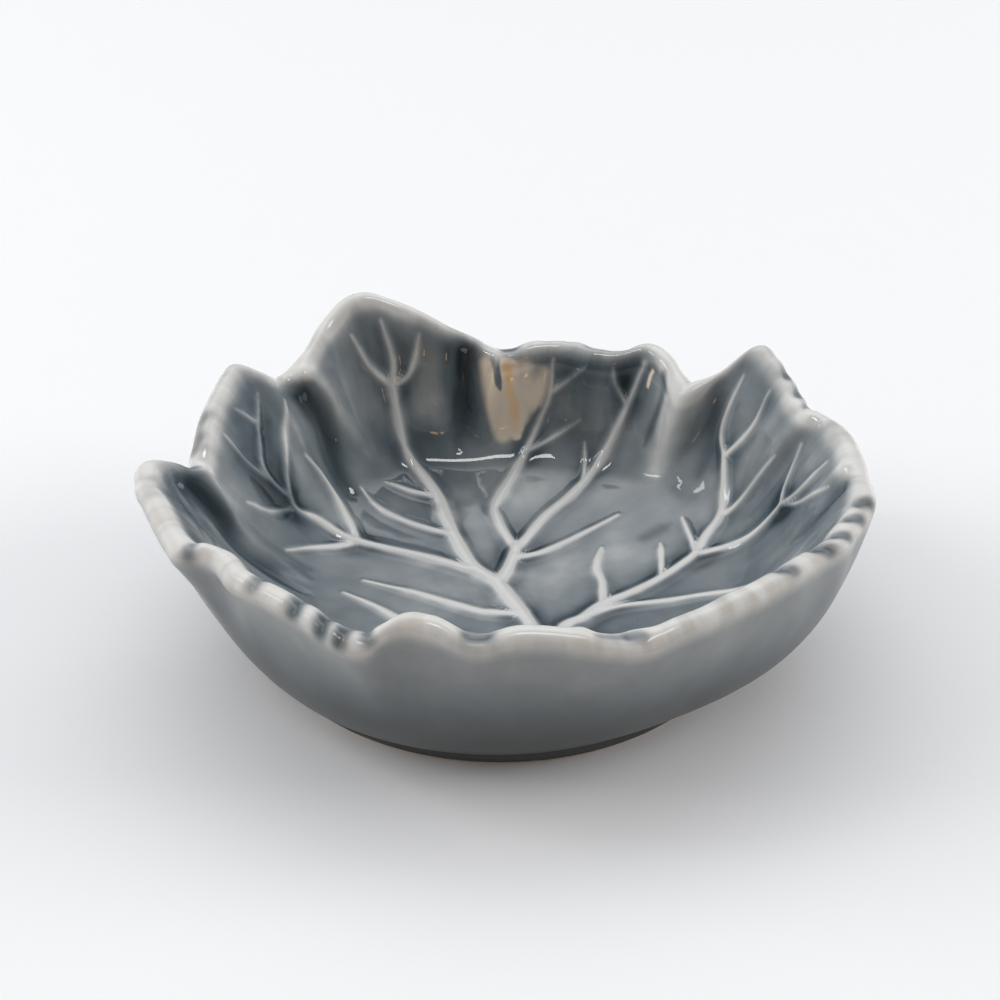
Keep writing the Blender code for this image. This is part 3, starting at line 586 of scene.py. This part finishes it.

# Places where the glaze gathers, or where it runs thin: how deep at either end, and how wide, as
# shares, then the places. The pale lines on the ridge at about 48 degrees and on the back of the
# floor are painted sheen: they paint the bright window's reflection into the glaze.
POOL_AND_SHEEN_SHARES = (
    (0.38, 0.36, 0.85, ((98.7, 0.98), (98.5, 0.92), (98.7, 0.86), (99.3, 0.75))),
    (0.22, 0.28, 0.90, ((71, 0.96), (72, 0.88), (71, 0.76))),
    (0.24, 0.20, 1.10, ((150, 0.95), (154, 0.86), (157, 0.76))),
    (0.34, 0.34, 0.70, ((164, 0.93), (162, 0.85), (160, 0.76))),
    (0.25, 0.35, 0.55, ((134, 0.94), (134, 0.87), (135, 0.78), (136, 0.68), (134, 0.58))),
    (0.30, 0.30, 0.50, ((139, 0.99), (134, 0.97))),
    (0.16, 0.10, 0.50, ((156, 0.98), (158, 0.94), (160, 0.92))),
    (0.20, 0.15, 0.50, ((149, 0.91), (152, 0.88), (157, 0.84))),
    (0.40, 0.30, 0.40, ((177, 0.96), (178, 0.88), (182, 0.82), (183, 0.74), (187, 0.66))),
    (0.20, 0.20, 0.22, ((180, 0.98), (184, 0.94), (190, 0.91))),
    (0.20, 0.20, 0.20, ((178, 0.98), (181, 0.92), (186, 0.88))),
    (0.35, 0.20, 0.50, ((356, 0.99), (356, 0.96), (355, 0.90), (356, 0.83))),
    (0.35, 0.35, 0.35, ((30, 0.45), (30, 0.53))),
    (0.20, 0.20, 0.45, ((75, 0.97), (73, 0.94))),
    (0.20, 0.20, 0.45, ((62, 0.97), (61, 0.92))),
    (0.28, 0.28, 0.22, ((52.5, 0.99), (51, 0.95), (52, 0.86), (53, 0.77))),
    (0.20, 0.20, 0.50, ((41, 0.97), (40, 0.90), (38, 0.82), (36, 0.72))),
    (0.11, 0.11, 0.55, ((95, 1.0), (86, 1.0), (77, 1.0), (68, 1.0), (59, 1.0), (52, 1.0))),
    (0.20, 0.20, 0.70, ((108, 0.72), (114, 0.69), (118, 0.71))),
    (0.12, 0.12, 0.60, ((145, 0.50), (141, 0.38), (136, 0.26))),
    # Painted sheen: the window's reflection on the ridge, painted in as paler glaze
    (-0.30, -0.34, 0.70, ((49, 0.97), (48.5, 0.90), (48, 0.82), (47.5, 0.70))),
    (-0.15, -0.15, 1.10, ((192, 0.94), (196, 0.84), (200, 0.74))),
    (-0.12, -0.12, 0.80, ((124, 0.99), (117, 1.0), (110, 0.99))),
    # Painted sheen: the window's reflection on the back of the floor, painted in as paler glaze
    (-0.10, -0.10, 0.90, ((56, 0.54), (70, 0.53), (82, 0.49))),
    (-0.12, -0.12, 0.90, ((109, 0.90), (106, 0.78))),
    (-0.12, -0.12, 1.60, ((106, 0.48), (101, 0.33), (90, 0.17))),
    (-0.15, -0.12, 1.70, ((42, 0.22), (32, 0.32), (19, 0.40))),
    # Painted sheen: the window's reflection near the back bend, painted in as paler glaze
    (-0.12, -0.12, 1.20, ((77, 0.58), (68, 0.57))),
)

# Places where a warm reflection is painted into the glaze as tan and amber patches, given as the pools are
WARM_REFLECTION_SHARES = (
    (0.85, 0.70, 0.60, ((92.6, 0.985), (92.4, 0.93), (91.3, 0.85), (89.3, 0.76))),
    (1.25, 0.60, 0.44, ((88.3, 0.98), (88, 0.93), (87, 0.87), (86.2, 0.81), (85.5, 0.75))),
    (0.50, 0.50, 0.62, ((84, 0.97), (83.8, 0.92), (84.2, 0.85), (85, 0.79))),
    (0.40, 0.35, 0.40, ((79.5, 0.95), (80.5, 0.90), (82, 0.84))),
    (-1.30, -0.70, 0.26, ((91.8, 1.0), (90.8, 0.965), (89.9, 0.92))),
    (0.60, 0.70, 0.16, ((56, 0.975), (56, 0.93))),
    (0.28, 0.28, 1.00, ((108, 0.95), (107, 0.78))),
    (0.25, 0.25, 0.80, ((132, 0.95), (130, 0.82))),
    (0.28, 0.28, 1.20, ((76, 0.88), (66, 0.78))),
)


def path_on_leaf(places):
    """Points on the plain upper face along a smooth line through its places."""
    azimuths = np.radians([azimuth for azimuth, share in places])
    shares = np.array([share for azimuth, share in places])
    flat = np.stack([shares * np.cos(azimuths), shares * np.sin(azimuths)], axis=-1)
    knots = np.concatenate([[2 * flat[0] - flat[1]], flat, [2 * flat[-1] - flat[-2]]])
    steps = np.linspace(0, 1, PATH_STEPS, endpoint=False)[:, None]
    spans = []
    for before, start, end, after in zip(knots, knots[1:], knots[2:], knots[3:]):
        bow = 2 * before - 5 * start + 4 * end - after
        flick = 3 * start - before - 3 * end + after
        spans.append(start + (steps * (end - before) + steps**2 * bow + steps**3 * flick) / 2)
    flat = np.concatenate(spans + [flat[-1:]])
    return inside(np.arctan2(flat[:, 1], flat[:, 0]), np.minimum(np.linalg.norm(flat, axis=-1), 1))


def tapered(last, count):
    """How a thin line dwindles towards its tip. A broad one or a crease keeps its size."""
    if not 0 < last <= TIP_SIZE:
        return np.ones(count)
    share = np.linspace(1, 0, count) / TIP_SHARE
    return np.clip(TIP_SIZE + (1 - TIP_SIZE) * share, 0, 1)


def guide(name, paths, heights, widths):
    """Lines of edges that lie on the plain leaf. Each point keeps its line's number, height and width."""
    points, edges, numbers = [], [], []
    for number, path in enumerate(paths):
        edges += [(len(points) + step, len(points) + step + 1) for step in range(len(path) - 1)]
        points += path.tolist()
        numbers += [number] * len(path)
    mesh = bpy.data.meshes.new(name)
    mesh.from_pydata(points, edges, [])
    mesh.attributes.new("line", "INT", "POINT").data.foreach_set("value", numbers)
    for label, shares in (("height", heights), ("width", widths)):
        spans = [
            np.linspace(first, last, len(path)) * tapered(last, len(path))
            for (first, last), path in zip(shares, paths)
        ]
        mesh.attributes.new(label, "FLOAT", "POINT").data.foreach_set("value", np.concatenate(spans))
    return new_object(name, mesh)


def new_tree(name, inputs):
    """A tree that takes a leaf and named inputs, and gives back the leaf."""
    tree = bpy.data.node_groups.new(name, "GeometryNodeTree")
    tree.interface.new_socket(name="Leaf", in_out="OUTPUT", socket_type="NodeSocketGeometry")
    for label, kind in [("Leaf", "Geometry")] + inputs:
        tree.interface.new_socket(name=label, in_out="INPUT", socket_type="NodeSocket" + kind)
    return tree, tree.nodes.new("NodeGroupInput").outputs, tree.nodes.new("NodeGroupOutput").inputs


def kept(tree, name, kind="FLOAT"):
    """A value kept at the leaf's corners."""
    return drawn(tree, "GeometryNodeInputNamedAttribute", "Attribute", {"Name": name}, data_type=kind)


def keep(tree, leaf, name, value, kind="FLOAT"):
    """The leaf with a value kept at its corners."""
    inputs = {"Geometry": leaf, "Name": name, "Value": value}
    return drawn(tree, "GeometryNodeStoreNamedAttribute", "Geometry", inputs, data_type=kind)


def died_away(tree, distance, reach):
    """Rounded bump that has died away at about twice its reach."""
    share = worked(tree, "DIVIDE", distance, reach)
    return worked(tree, "EXPONENT", times(tree, share, share, -1.0))


def scaled(tree, vector, factor):
    """A vector made longer or shorter."""
    return drawn(tree, "ShaderNodeVectorMath", "Vector", {0: vector, "Scale": factor}, operation="SCALE")


# What is set for each set of lines, and what the leaf's corners then keep of it
LINE_SETTINGS = {"lines": "Object", "count": "Int", "height": "Float", "width": "Float", "joining": "Float"}
LINE_RESULTS = ("rise", "size", "crowd", "offset", "nearness")

# Measures, line by line, how far a set of lines raises the leaf and where the nearest of them lies
tree, given, result = new_tree(
    "measured lines",
    [(label.capitalize(), kind) for label, kind in LINE_SETTINGS.items()]
    + [("Crowd reach", "Float")]
    + [(label.capitalize() + " name", "String") for label in LINE_RESULTS],
)
FAR_OFF = 99.0
line_set = drawn(tree, "GeometryNodeObjectInfo", "Geometry", {"Object": given["Lines"]})
opened = place(tree, "GeometryNodeRepeatInput", {"Iterations": given["Count"]})
closed = place(tree, "GeometryNodeRepeatOutput", {})
opened.pair_with_output(closed)
leaf = keep(tree, given["Leaf"], given["Nearness name"], FAR_OFF)
tree.links.new(leaf, opened.inputs["Geometry"])
inputs = {"A": kept(tree, "line", "INT"), "B": opened.outputs["Iteration"]}
this_line = drawn(tree, "FunctionNodeCompare", "Result", inputs, data_type="INT", operation="EQUAL")
inputs = {"Geometry": line_set, "Selection": this_line}
line = drawn(tree, "GeometryNodeSeparateGeometry", "Selection", inputs)
near = place(tree, "GeometryNodeProximity", {0: line}, target_element="EDGES").outputs
index = drawn(tree, "GeometryNodeSampleNearest", "Index", {"Geometry": line})
height, width = [
    drawn(tree, "GeometryNodeSampleIndex", "Value", {"Geometry": line, "Value": value, "Index": index})
    for value in (kept(tree, "height"), kept(tree, "width"))
]
reach = times(tree, width, given["Width"])
ratio = worked(tree, "DIVIDE", near["Distance"], reach)
bump = times(tree, height, given["Height"], died_away(tree, near["Distance"], reach))
crowd = times(tree, width, died_away(tree, near["Distance"], given["Crowd reach"]))
inputs = {0: near["Position"], 1: drawn(tree, "GeometryNodeInputPosition", 0, {})}
toward = drawn(tree, "ShaderNodeVectorMath", "Vector", inputs, operation="SUBTRACT")
closer = worked(tree, "LESS_THAN", ratio, kept(tree, given["Nearness name"]))
leaf = opened.outputs["Geometry"]
for label, value in (
    ("Rise name", worked(tree, "POWER", bump, given["Joining"])),
    ("Crowd name", crowd),
):
    leaf = keep(tree, leaf, given[label], added(tree, kept(tree, given[label]), value))
for label, value, kind in (
    ("Offset name", scaled(tree, toward, worked(tree, "DIVIDE", 1.0, reach)), "VECTOR"),
    ("Size name", width, "FLOAT"),
):
    stored = "FLOAT_VECTOR" if kind == "VECTOR" else kind
    inputs = {"Switch": closer, "False": kept(tree, given[label], stored), "True": value}
    chosen = drawn(tree, "GeometryNodeSwitch", "Output", inputs, input_type=kind)
    leaf = keep(tree, leaf, given[label], chosen, stored)
closest = worked(tree, "MINIMUM", ratio, kept(tree, given["Nearness name"]))
leaf = keep(tree, leaf, given["Nearness name"], closest)
tree.links.new(leaf, closed.inputs["Geometry"])
root = worked(tree, "DIVIDE", 1.0, given["Joining"])
rise = worked(tree, "POWER", kept(tree, given["Rise name"]), root)
leaf = keep(tree, closed.outputs["Geometry"], given["Rise name"], rise)
tree.links.new(leaf, result["Leaf"])
line_measure = tree

# Presses veins, folds and wells square to the plain leaf, and notes where glaze pools, painted sheen and
# painted warm reflections lie
LINE_SETS = ("Vein", "Fold", "Well", "Pool", "Blush")
tree, given, result = new_tree(
    "pressed leaf",
    [(f"{word} {label}", kind) for word in LINE_SETS for label, kind in LINE_SETTINGS.items()]
    + [("Crowd reach", "Float"), ("Glaze", "Material")],
)
leaf = given["Leaf"]
for word in LINE_SETS:
    inputs = {"Leaf": leaf, "Crowd reach": given["Crowd reach"]}
    for label in LINE_SETTINGS:
        inputs[label.capitalize()] = given[f"{word} {label}"]
    for label in LINE_RESULTS:
        inputs[label.capitalize() + " name"] = f"{word.lower()}_{label}"
    leaf = drawn(tree, "GeometryNodeGroup", "Leaf", inputs, node_tree=line_measure)
moulded = added(tree, kept(tree, "fold_rise"), kept(tree, "well_rise"))
rise = added(
    tree,
    times(tree, moulded, kept(tree, "lift")),
    times(tree, kept(tree, "vein_rise"), kept(tree, "vein_lift")),
)
square = drawn(tree, "GeometryNodeInputNormal", "Normal", {})
inputs = {"Geometry": leaf, "Offset": scaled(tree, square, rise)}
leaf = drawn(tree, "GeometryNodeSetPosition", "Geometry", inputs)
leaf = drawn(tree, "GeometryNodeRealizeInstances", "Geometry", {"Geometry": leaf})
inputs = {"Geometry": leaf, "Material": given["Glaze"]}
leaf = drawn(tree, "GeometryNodeSetMaterial", "Geometry", inputs)
tree.links.new(leaf, result["Leaf"])
leaf_press = tree

# Pooled glaze, shared by the skin and the base: its colour deepens with its thickness
GLAZE_STOPS = (
    (0.00, (0.735, 0.727, 0.697, 1)),
    (0.12, (0.545, 0.545, 0.530, 1)),
    (0.30, (0.255, 0.278, 0.288, 1)),
    (0.52, (0.118, 0.150, 0.170, 1)),
    (0.76, (0.046, 0.070, 0.085, 1)),
    (1.00, (0.014, 0.024, 0.032, 1)),
)
GLAZE_HOLE = (0.02, 0.025, 0.03, 1)
GLAZE_ROUGHNESS = (0.02, 0.06)
GLAZE_IOR = 1.5
WAVE_SCALE = 130
WAVE_DEPTH = 0.00003
HAZE_SCALE = 65
PINHOLE_SCALE = 95
PINHOLE_REACH = (0.012, 0.020)
PINHOLE_RARITY = 0.7

tree = bpy.data.node_groups.new("pooled glaze", "ShaderNodeTree")
tree.interface.new_socket(name="Where", in_out="INPUT", socket_type="NodeSocketVector")
tree.interface.new_socket(name="Thickness", in_out="INPUT", socket_type="NodeSocketFloat")
for label, kind in (("Colour", "Color"), ("Roughness", "Float"), ("Height", "Float")):
    tree.interface.new_socket(name=label, in_out="OUTPUT", socket_type="NodeSocket" + kind)
given = tree.nodes.new("NodeGroupInput").outputs
result = tree.nodes.new("NodeGroupOutput").inputs
ramp = place(tree, "ShaderNodeValToRGB", {"Fac": given["Thickness"]})
ramp.color_ramp.interpolation = "B_SPLINE"
stops = ramp.color_ramp.elements
for position, colour in GLAZE_STOPS[1:-1]:
    stops.new(position)
for stop, (position, colour) in zip(stops, GLAZE_STOPS):
    stop.position = position
    stop.color = colour
holes = place(tree, "ShaderNodeTexVoronoi", {"Vector": given["Where"], "Scale": PINHOLE_SCALE}).outputs
chance = drawn(tree, "ShaderNodeSeparateColor", "Red", {"Color": holes["Color"]})
hole = times(
    tree,
    eased(tree, holes["Distance"], *PINHOLE_REACH, 1.0, 0.0),
    worked(tree, "GREATER_THAN", chance, PINHOLE_RARITY),
)
tree.links.new(blended(tree, hole, ramp.outputs["Color"], GLAZE_HOLE), result["Colour"])
haze = noise(tree, given["Where"], HAZE_SCALE)
tree.links.new(eased(tree, haze, *CLOUD_RANGE, *GLAZE_ROUGHNESS), result["Roughness"])
wave = worked(tree, "SUBTRACT", noise(tree, given["Where"], WAVE_SCALE, 1.0), hole)
tree.links.new(wave, result["Height"])
pooled = tree


def glazed(name):
    """A glaze material, its tree, its places, its pooled glaze and its shader's inputs."""
    material, tree, surface = new_surface(name)
    surface["IOR"].default_value = GLAZE_IOR
    where = drawn(tree, "ShaderNodeTexCoord", "Object", {})
    coat = place(tree, "ShaderNodeGroup", {"Where": where}, node_tree=pooled)
    tree.links.new(coat.outputs["Colour"], surface["Base Color"])
    tree.links.new(coat.outputs["Roughness"], surface["Roughness"])
    inputs = {"Height": coat.outputs["Height"], "Distance": WAVE_DEPTH}
    tree.links.new(drawn(tree, "ShaderNodeBump", "Normal", inputs), surface["Normal"])
    return material, tree, where, coat, surface


# Thickness of the glaze, as a share of the way along its colours: in general, at most and in a well,
# then what each thing adds. Four numbers are two values eased between, and what each of them gives.
EVEN_SHARE = 0.43
DEEPEST_SHARE = 0.95
WELL_SHARE = 0.88
CREST_FLAT = 0.35
CREST_REACH = 2.3
CREST_FALL = 1.5
CREST_SIZES = (0.3, 1.1, 0.46, 1.0)
CREST_ON_WALL = -0.38
CROWD_RANGE = (0.1, 1.4)
BESIDE_VEIN = (0.2, 1.5, 0.1, 1.0)
CROWD_CLOUDS = (0.3, 0.7, 0.16, 0.66)
CLOUD_SCALE = 55
CLOUD_SWING = 0.55
OUTER_SWING = -0.35
FINE_SCALE = 210
FINE_SWING = 0.12
STREAK_SCALES = (11, 11, 2)
STREAK_SWING = 0.40
FOLD_THINNING = -0.25
WALL_RUN = (0.60, 0.85)
WALL_THINNING = -0.02
# The glaze runs thicker and darker towards the bottom of the belly and on the foot's side; this darkening
# is also painted shade, where the table's shadow falls under the dish
BELLY_HEIGHTS = (0.036, 0.006)
BELLY_GATHERING_AND_SHADE = 0.60
HEEL_HEIGHTS = (0.0075, 0.0045)
HEEL_GATHERING_AND_SHADE = 0.55
OUTER_THINNING = -0.05
RIM_PATCH_SCALES = (15, 15, 1)
RIM_THINNING = (0.3, 0.7, -0.43, -0.34)

# How a painted warm reflection tints the glaze tan and amber, and how the glaze turns warm on the rim and
# outside
REFLECTED_TAN = (0.98, 0.81, 0.63, 1)
REFLECTED_AMBER = (0.98, 0.65, 0.35, 1)
REFLECTED_TINT_RANGE = (0.80, 1.30)
WARM_REFLECTION_RANGE = (0.22, 0.65, 0.0, 0.72)
WARM_REFLECTION_GAIN = 0.20
STAIN_PATCHES = (0.46, 0.62, 0.04, 0.32)
STAIN_OUTWARD = (0.1, 0.7, 0.2, 1.0)
OUTER_WARMTH = 0.08
OUTER_SATIN = 0.30


def read(tree, name, output="Fac"):
    """A value that the leaf's corners keep."""
    return drawn(tree, "ShaderNodeAttribute", output, {}, attribute_name=name)


def swung(tree, clouds, *swings):
    """Clouds that swing a value as far up as down."""
    return times(tree, worked(tree, "SUBTRACT", clouds, 0.5), *swings)


def along_flow(tree, scales, detail):
    """Patches that are drawn out the way the glaze runs."""
    inputs = {0: read(tree, "flow", "Vector"), 1: scales}
    flow = drawn(tree, "ShaderNodeVectorMath", "Vector", inputs, operation="MULTIPLY")
    return noise(tree, flow, 1.0, detail)


leaf_glaze, tree, where, coat, surface = glazed("leaf_glaze")
upper, outer = read(tree, "vein_lift"), read(tree, "outer")
run = drawn(tree, "ShaderNodeSeparateXYZ", "Z", {"Vector": read(tree, "flow", "Vector")})
wall = times(tree, eased(tree, run, *WALL_RUN), worked(tree, "SUBTRACT", 1.0, outer))
offset = read(tree, "vein_offset", "Vector")
offset = drawn(tree, "ShaderNodeVectorMath", "Value", {0: offset}, operation="LENGTH")
near = worked(tree, "MAXIMUM", offset, worked(tree, "SUBTRACT", read(tree, "vein_nearness"), CREST_FLAT))
crest = worked(tree, "SUBTRACT", 1.0, worked(tree, "DIVIDE", near, CREST_REACH))
crest = worked(tree, "POWER", worked(tree, "MAXIMUM", crest, 0.0), CREST_FALL)
crest = times(tree, crest, eased(tree, read(tree, "vein_size"), *CREST_SIZES), upper)
crest = times(tree, crest, added(tree, 1.0, times(tree, wall, CREST_ON_WALL)))
crowd = eased(tree, read(tree, "vein_crowd"), *CROWD_RANGE)
crowd = times(tree, crowd, upper, eased(tree, near, *BESIDE_VEIN))
clouds = noise(tree, where, CLOUD_SCALE)
fold = worked(tree, "DIVIDE", read(tree, "fold_rise"), FOLD_HEIGHT)
height = drawn(tree, "ShaderNodeSeparateXYZ", "Z", {"Vector": where})
rim_patches = along_flow(tree, RIM_PATCH_SCALES, 3.0)
thickness = added(
    tree,
    EVEN_SHARE,
    # Glaze pools, and the pale sheen lines among them, which are painted reflection
    times(tree, read(tree, "pool_rise"), upper),
    times(tree, crowd, eased(tree, clouds, *CROWD_CLOUDS)),
    swung(tree, clouds, added(tree, CLOUD_SWING, times(tree, outer, OUTER_SWING))),
    swung(tree, noise(tree, where, FINE_SCALE), FINE_SWING),
    swung(tree, along_flow(tree, STREAK_SCALES, 5.0), STREAK_SWING, wall),
    times(tree, fold, upper, FOLD_THINNING),
    times(tree, wall, WALL_THINNING),
    # Thicker glaze low on the belly and on the foot's side, partly painted shade from the table's shadow
    times(tree, eased(tree, height, *BELLY_HEIGHTS), outer, BELLY_GATHERING_AND_SHADE),
    times(tree, eased(tree, height, *HEEL_HEIGHTS), outer, HEEL_GATHERING_AND_SHADE),
    times(tree, outer, OUTER_THINNING),
    times(tree, read(tree, "rim"), eased(tree, rim_patches, *RIM_THINNING)),
    times(tree, crest, -1.0),
)
well = worked(tree, "DIVIDE", read(tree, "well_rise"), -WELL_DEPTH)
well = worked(tree, "MINIMUM", worked(tree, "MAXIMUM", well, 0.0), 1.0)
deeper = times(tree, worked(tree, "SUBTRACT", WELL_SHARE, thickness), well)
thickness = worked(tree, "MINIMUM", added(tree, thickness, deeper), DEEPEST_SHARE)
tree.links.new(thickness, coat.inputs["Thickness"])
# Painted warm reflection: the glaze is tinted tan and amber where a warm lamp's reflection is painted in
warm_reflection_here = read(tree, "blush_rise")
reflected_tint = blended(tree, eased(tree, warm_reflection_here, *REFLECTED_TINT_RANGE), REFLECTED_TAN, REFLECTED_AMBER)
share = added(tree, eased(tree, warm_reflection_here, *WARM_REFLECTION_RANGE), times(tree, warm_reflection_here, WARM_REFLECTION_GAIN))
share = worked(tree, "MAXIMUM", times(tree, share, upper), 0.0)
colour = blended(tree, share, coat.outputs["Colour"], reflected_tint)
stain = times(tree, read(tree, "rim"), eased(tree, rim_patches, *STAIN_PATCHES))
stain = times(tree, stain, eased(tree, outer, *STAIN_OUTWARD))
warmth = added(tree, times(tree, outer, OUTER_WARMTH), stain)
tree.links.new(blended(tree, warmth, colour, CLAY_BUFF), surface["Base Color"])
satin = added(tree, coat.outputs["Roughness"], times(tree, outer, OUTER_SATIN))
tree.links.new(satin, surface["Roughness"])

vein_sizes = [(first, last) for first, last, places in VEIN_SHARES]
veins = guide("veins", [path_on_leaf(row[-1]) for row in VEIN_SHARES], vein_sizes, vein_sizes)
folds, pools, blush = [
    guide(
        name,
        [path_on_leaf(places) for first, last, wide, places in shares],
        [(first, last) for first, last, wide, places in shares],
        [(wide, wide) for first, last, wide, places in shares],
    )
    for name, shares in (("folds", FOLD_SHARES), ("pools", POOL_AND_SHEEN_SHARES), ("blush", WARM_REFLECTION_SHARES))
]
wells = guide(
    "wells",
    [
        over_rim(np.radians(np.linspace(first[0], last[0], 5)), np.linspace(first[1], last[1], 5))
        for depth, reach, first, last in WELL_SHARES
    ],
    [(-depth, -depth) for depth, reach, first, last in WELL_SHARES],
    [(reach, reach) for depth, reach, first, last in WELL_SHARES],
)

skin = new_object("plain_leaf", plain_leaf())
press = skin.modifiers.new("press", "NODES")
press.node_group = leaf_press
set_values = {
    "Vein": (veins, len(VEIN_SHARES), VEIN_HEIGHT, VEIN_WIDTH, VEIN_JOINING),
    "Fold": (folds, len(FOLD_SHARES), FOLD_HEIGHT, FOLD_WIDTH, 1.0),
    "Well": (wells, len(WELL_SHARES), WELL_DEPTH, WELL_REACH, 1.0),
    "Pool": (pools, len(POOL_AND_SHEEN_SHARES), 1.0, POOL_AND_REFLECTION_WIDTH, 1.0),
    "Blush": (blush, len(WARM_REFLECTION_SHARES), 1.0, POOL_AND_REFLECTION_WIDTH, 1.0),
}
chosen = {"Crowd reach": CROWD_REACH, "Glaze": leaf_glaze}
for word, values in set_values.items():
    chosen.update({f"{word} {label}": value for label, value in zip(LINE_SETTINGS, values)})
for entry in leaf_press.interface.items_tree:
    if entry.in_out == "INPUT" and entry.name in chosen:
        press[entry.identifier] = chosen[entry.name]
bpy.context.view_layer.update()
graph = bpy.context.evaluated_depsgraph_get()
pressed = bpy.data.meshes.new_from_object(skin.evaluated_get(graph), depsgraph=graph)
pressed.name = "glaze_skin"
for used in (skin, veins, folds, wells, pools, blush):
    bpy.data.objects.remove(used, do_unlink=True)

# The skin is drawn in evenly about the foot's middle, until it lies within the CAD coat
corners = np.empty(len(pressed.vertices) * 3, dtype=np.float32)
pressed.vertices.foreach_get("co", corners)
corners = corners.reshape(-1, 3)
axis = np.array([foot_middle.x, foot_middle.y, 0])
coat_low, coat_high = [np.array(corner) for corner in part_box("glaze_coat")]
reaches = np.concatenate([
    (coat_high - axis) / (corners.max(axis=0) - axis),
    ((coat_low - axis) / (corners.min(axis=0) - axis))[:2],
])
corners = axis + (corners - axis) * min(1, reaches.min())
pressed.vertices.foreach_set("co", corners.astype(np.float32).ravel())
pressed.shade_smooth()
glaze_skin = new_object("glaze_skin", pressed)
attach(glaze_skin, "root")
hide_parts("glaze_coat")

# Base glaze
# The recess under the dish is glazed as well, so that only the ring stands bare. The same glass lies
# there in a slightly thicker, cloudier coat.
BASE_SHARE = 0.5
BASE_SWING = 0.6
BASE_CLOUD_SCALE = 60

base_glass, tree, where, coat, surface = glazed("base_glass")
spread = swung(tree, noise(tree, where, BASE_CLOUD_SCALE), BASE_SWING)
tree.links.new(added(tree, spread, BASE_SHARE), coat.inputs["Thickness"])
dressed("base_glaze", base_glass)

# Table
# The dish stands on a plain, pale, matt table top that runs on past the camera's view. It takes the
# dish's soft shadow and has no edge or grain of its own.
TABLE_SIDE = 6
TABLE_PALE = (0.90, 0.90, 0.905, 1)
TABLE_ROUGHNESS = 0.55
TABLE_SPECULAR = 0.05

half = TABLE_SIDE / 2
table_corners = [(-half, -half, 0), (half, -half, 0), (half, half, 0), (-half, half, 0)]
table_mesh = bpy.data.meshes.new("table")
table_mesh.from_pydata(table_corners, [], [(0, 1, 2, 3)])
table = new_object("table", table_mesh)
table_top, tree, surface = new_surface("table_top")
surface["Base Color"].default_value = TABLE_PALE
surface["Roughness"].default_value = TABLE_ROUGHNESS
surface["Specular IOR Level"].default_value = TABLE_SPECULAR
table_mesh.materials.append(table_top)

# Room
# The room is pale, with a bright window high up behind the dish. It is dim on the camera's side, warm
# there near the table, and a little brighter low down to either side.
ROOM_BRIGHT = (0.95, 0.97, 1.0, 1)
ROOM_DIM = (0.25, 0.22, 0.20, 1)
ROOM_WARM = (0.55, 0.28, 0.11, 1)
LEVEL_ACROSS = (-0.9, 0.9, 0.51, 0.40)
DIM_HEIGHTS = (0.20, 0.62, 1.0, 0.0)
DIM_DEPTHS = (-0.55, 0.05, 1.0, 0.0)
WARM_HEIGHTS = (0.04, 0.20, 1.0, 0.0)
WARM_DEPTHS = (-0.75, -0.35, 1.0, 0.0)
SIDE_LEVEL = 0.5
SIDE_WIDTHS = (0.45, 0.95)
SIDE_HEIGHTS = (0.10, 0.45, 1.0, 0.0)
WINDOW_LEVEL = 1.8
WINDOW_DEPTHS = (0.15, 0.55)
WINDOW_HEIGHTS = (0.42, 0.78)

world = bpy.data.worlds.new("room")
world.use_nodes = True
bpy.context.scene.world = world
tree = world.node_tree
direction = drawn(tree, "ShaderNodeTexCoord", "Generated", {})
across, depth, height = place(tree, "ShaderNodeSeparateXYZ", {"Vector": direction}).outputs
aside = worked(tree, "ABSOLUTE", across)
dim = times(tree, eased(tree, height, *DIM_HEIGHTS), eased(tree, depth, *DIM_DEPTHS))
warm = times(tree, eased(tree, height, *WARM_HEIGHTS), eased(tree, depth, *WARM_DEPTHS))
sides = times(tree, eased(tree, aside, *SIDE_WIDTHS), eased(tree, height, *SIDE_HEIGHTS))
window = times(tree, eased(tree, depth, *WINDOW_DEPTHS), eased(tree, height, *WINDOW_HEIGHTS))
sky = blended(tree, warm, blended(tree, dim, ROOM_BRIGHT, ROOM_DIM), ROOM_WARM)
level = added(
    tree,
    eased(tree, across, *LEVEL_ACROSS),
    times(tree, sides, SIDE_LEVEL),
    times(tree, window, WINDOW_LEVEL),
)
background = tree.nodes["Background"].inputs
tree.links.new(sky, background["Color"])
tree.links.new(level, background["Strength"])

# Lamps
# Two broad soft lamps, one on either side, light what is plain, and the glaze doesn't mirror them. Two
# narrow strips and a small warm lamp before the dish draw the highlights on the glaze.

# Each lamp: its azimuth and elevation in degrees, distance, width and height, power, colour, whether
# it lights plain surfaces and whether the glaze mirrors it.
LAMPS = {
    "strip_above": (270, 84, 1.2, 0.50, 0.18, 3.2, (1.0, 0.99, 0.97), False, True),
    "strip_left": (170, 48, 1.0, 0.08, 0.34, 0.6, (0.92, 0.96, 1.0), True, True),
    "lamp_before": (276, 13, 0.9, 0.08, 0.10, 0.12, (1.0, 0.58, 0.26), True, True),
    "fill_left": (170, 22, 2.0, 1.20, 0.90, 18, (1.0, 0.99, 0.98), True, False),
    "fill_right": (8, 22, 2.0, 1.20, 0.90, 19, (1.0, 0.99, 0.98), True, False),
}

for name, (azimuth, elevation, distance, width, height, power, colour, lights, mirrored) in LAMPS.items():
    lamp_data = bpy.data.lights.new(name, "AREA")
    lamp_data.shape = "RECTANGLE"
    lamp_data.size = width
    lamp_data.size_y = height
    lamp_data.energy = power
    lamp_data.color = colour
    lamp = new_object(name, lamp_data)
    lamp.visible_diffuse = lights
    lamp.visible_glossy = mirrored
    turn, climb = math.radians(azimuth), math.radians(elevation)
    level = distance * math.cos(climb)
    lamp.location = (level * math.cos(turn), level * math.sin(turn), distance * math.sin(climb))
    lamp.rotation_euler = (math.pi / 2 - climb, 0, turn + math.pi / 2)

bpy.context.scene.view_settings.view_transform = "Standard"
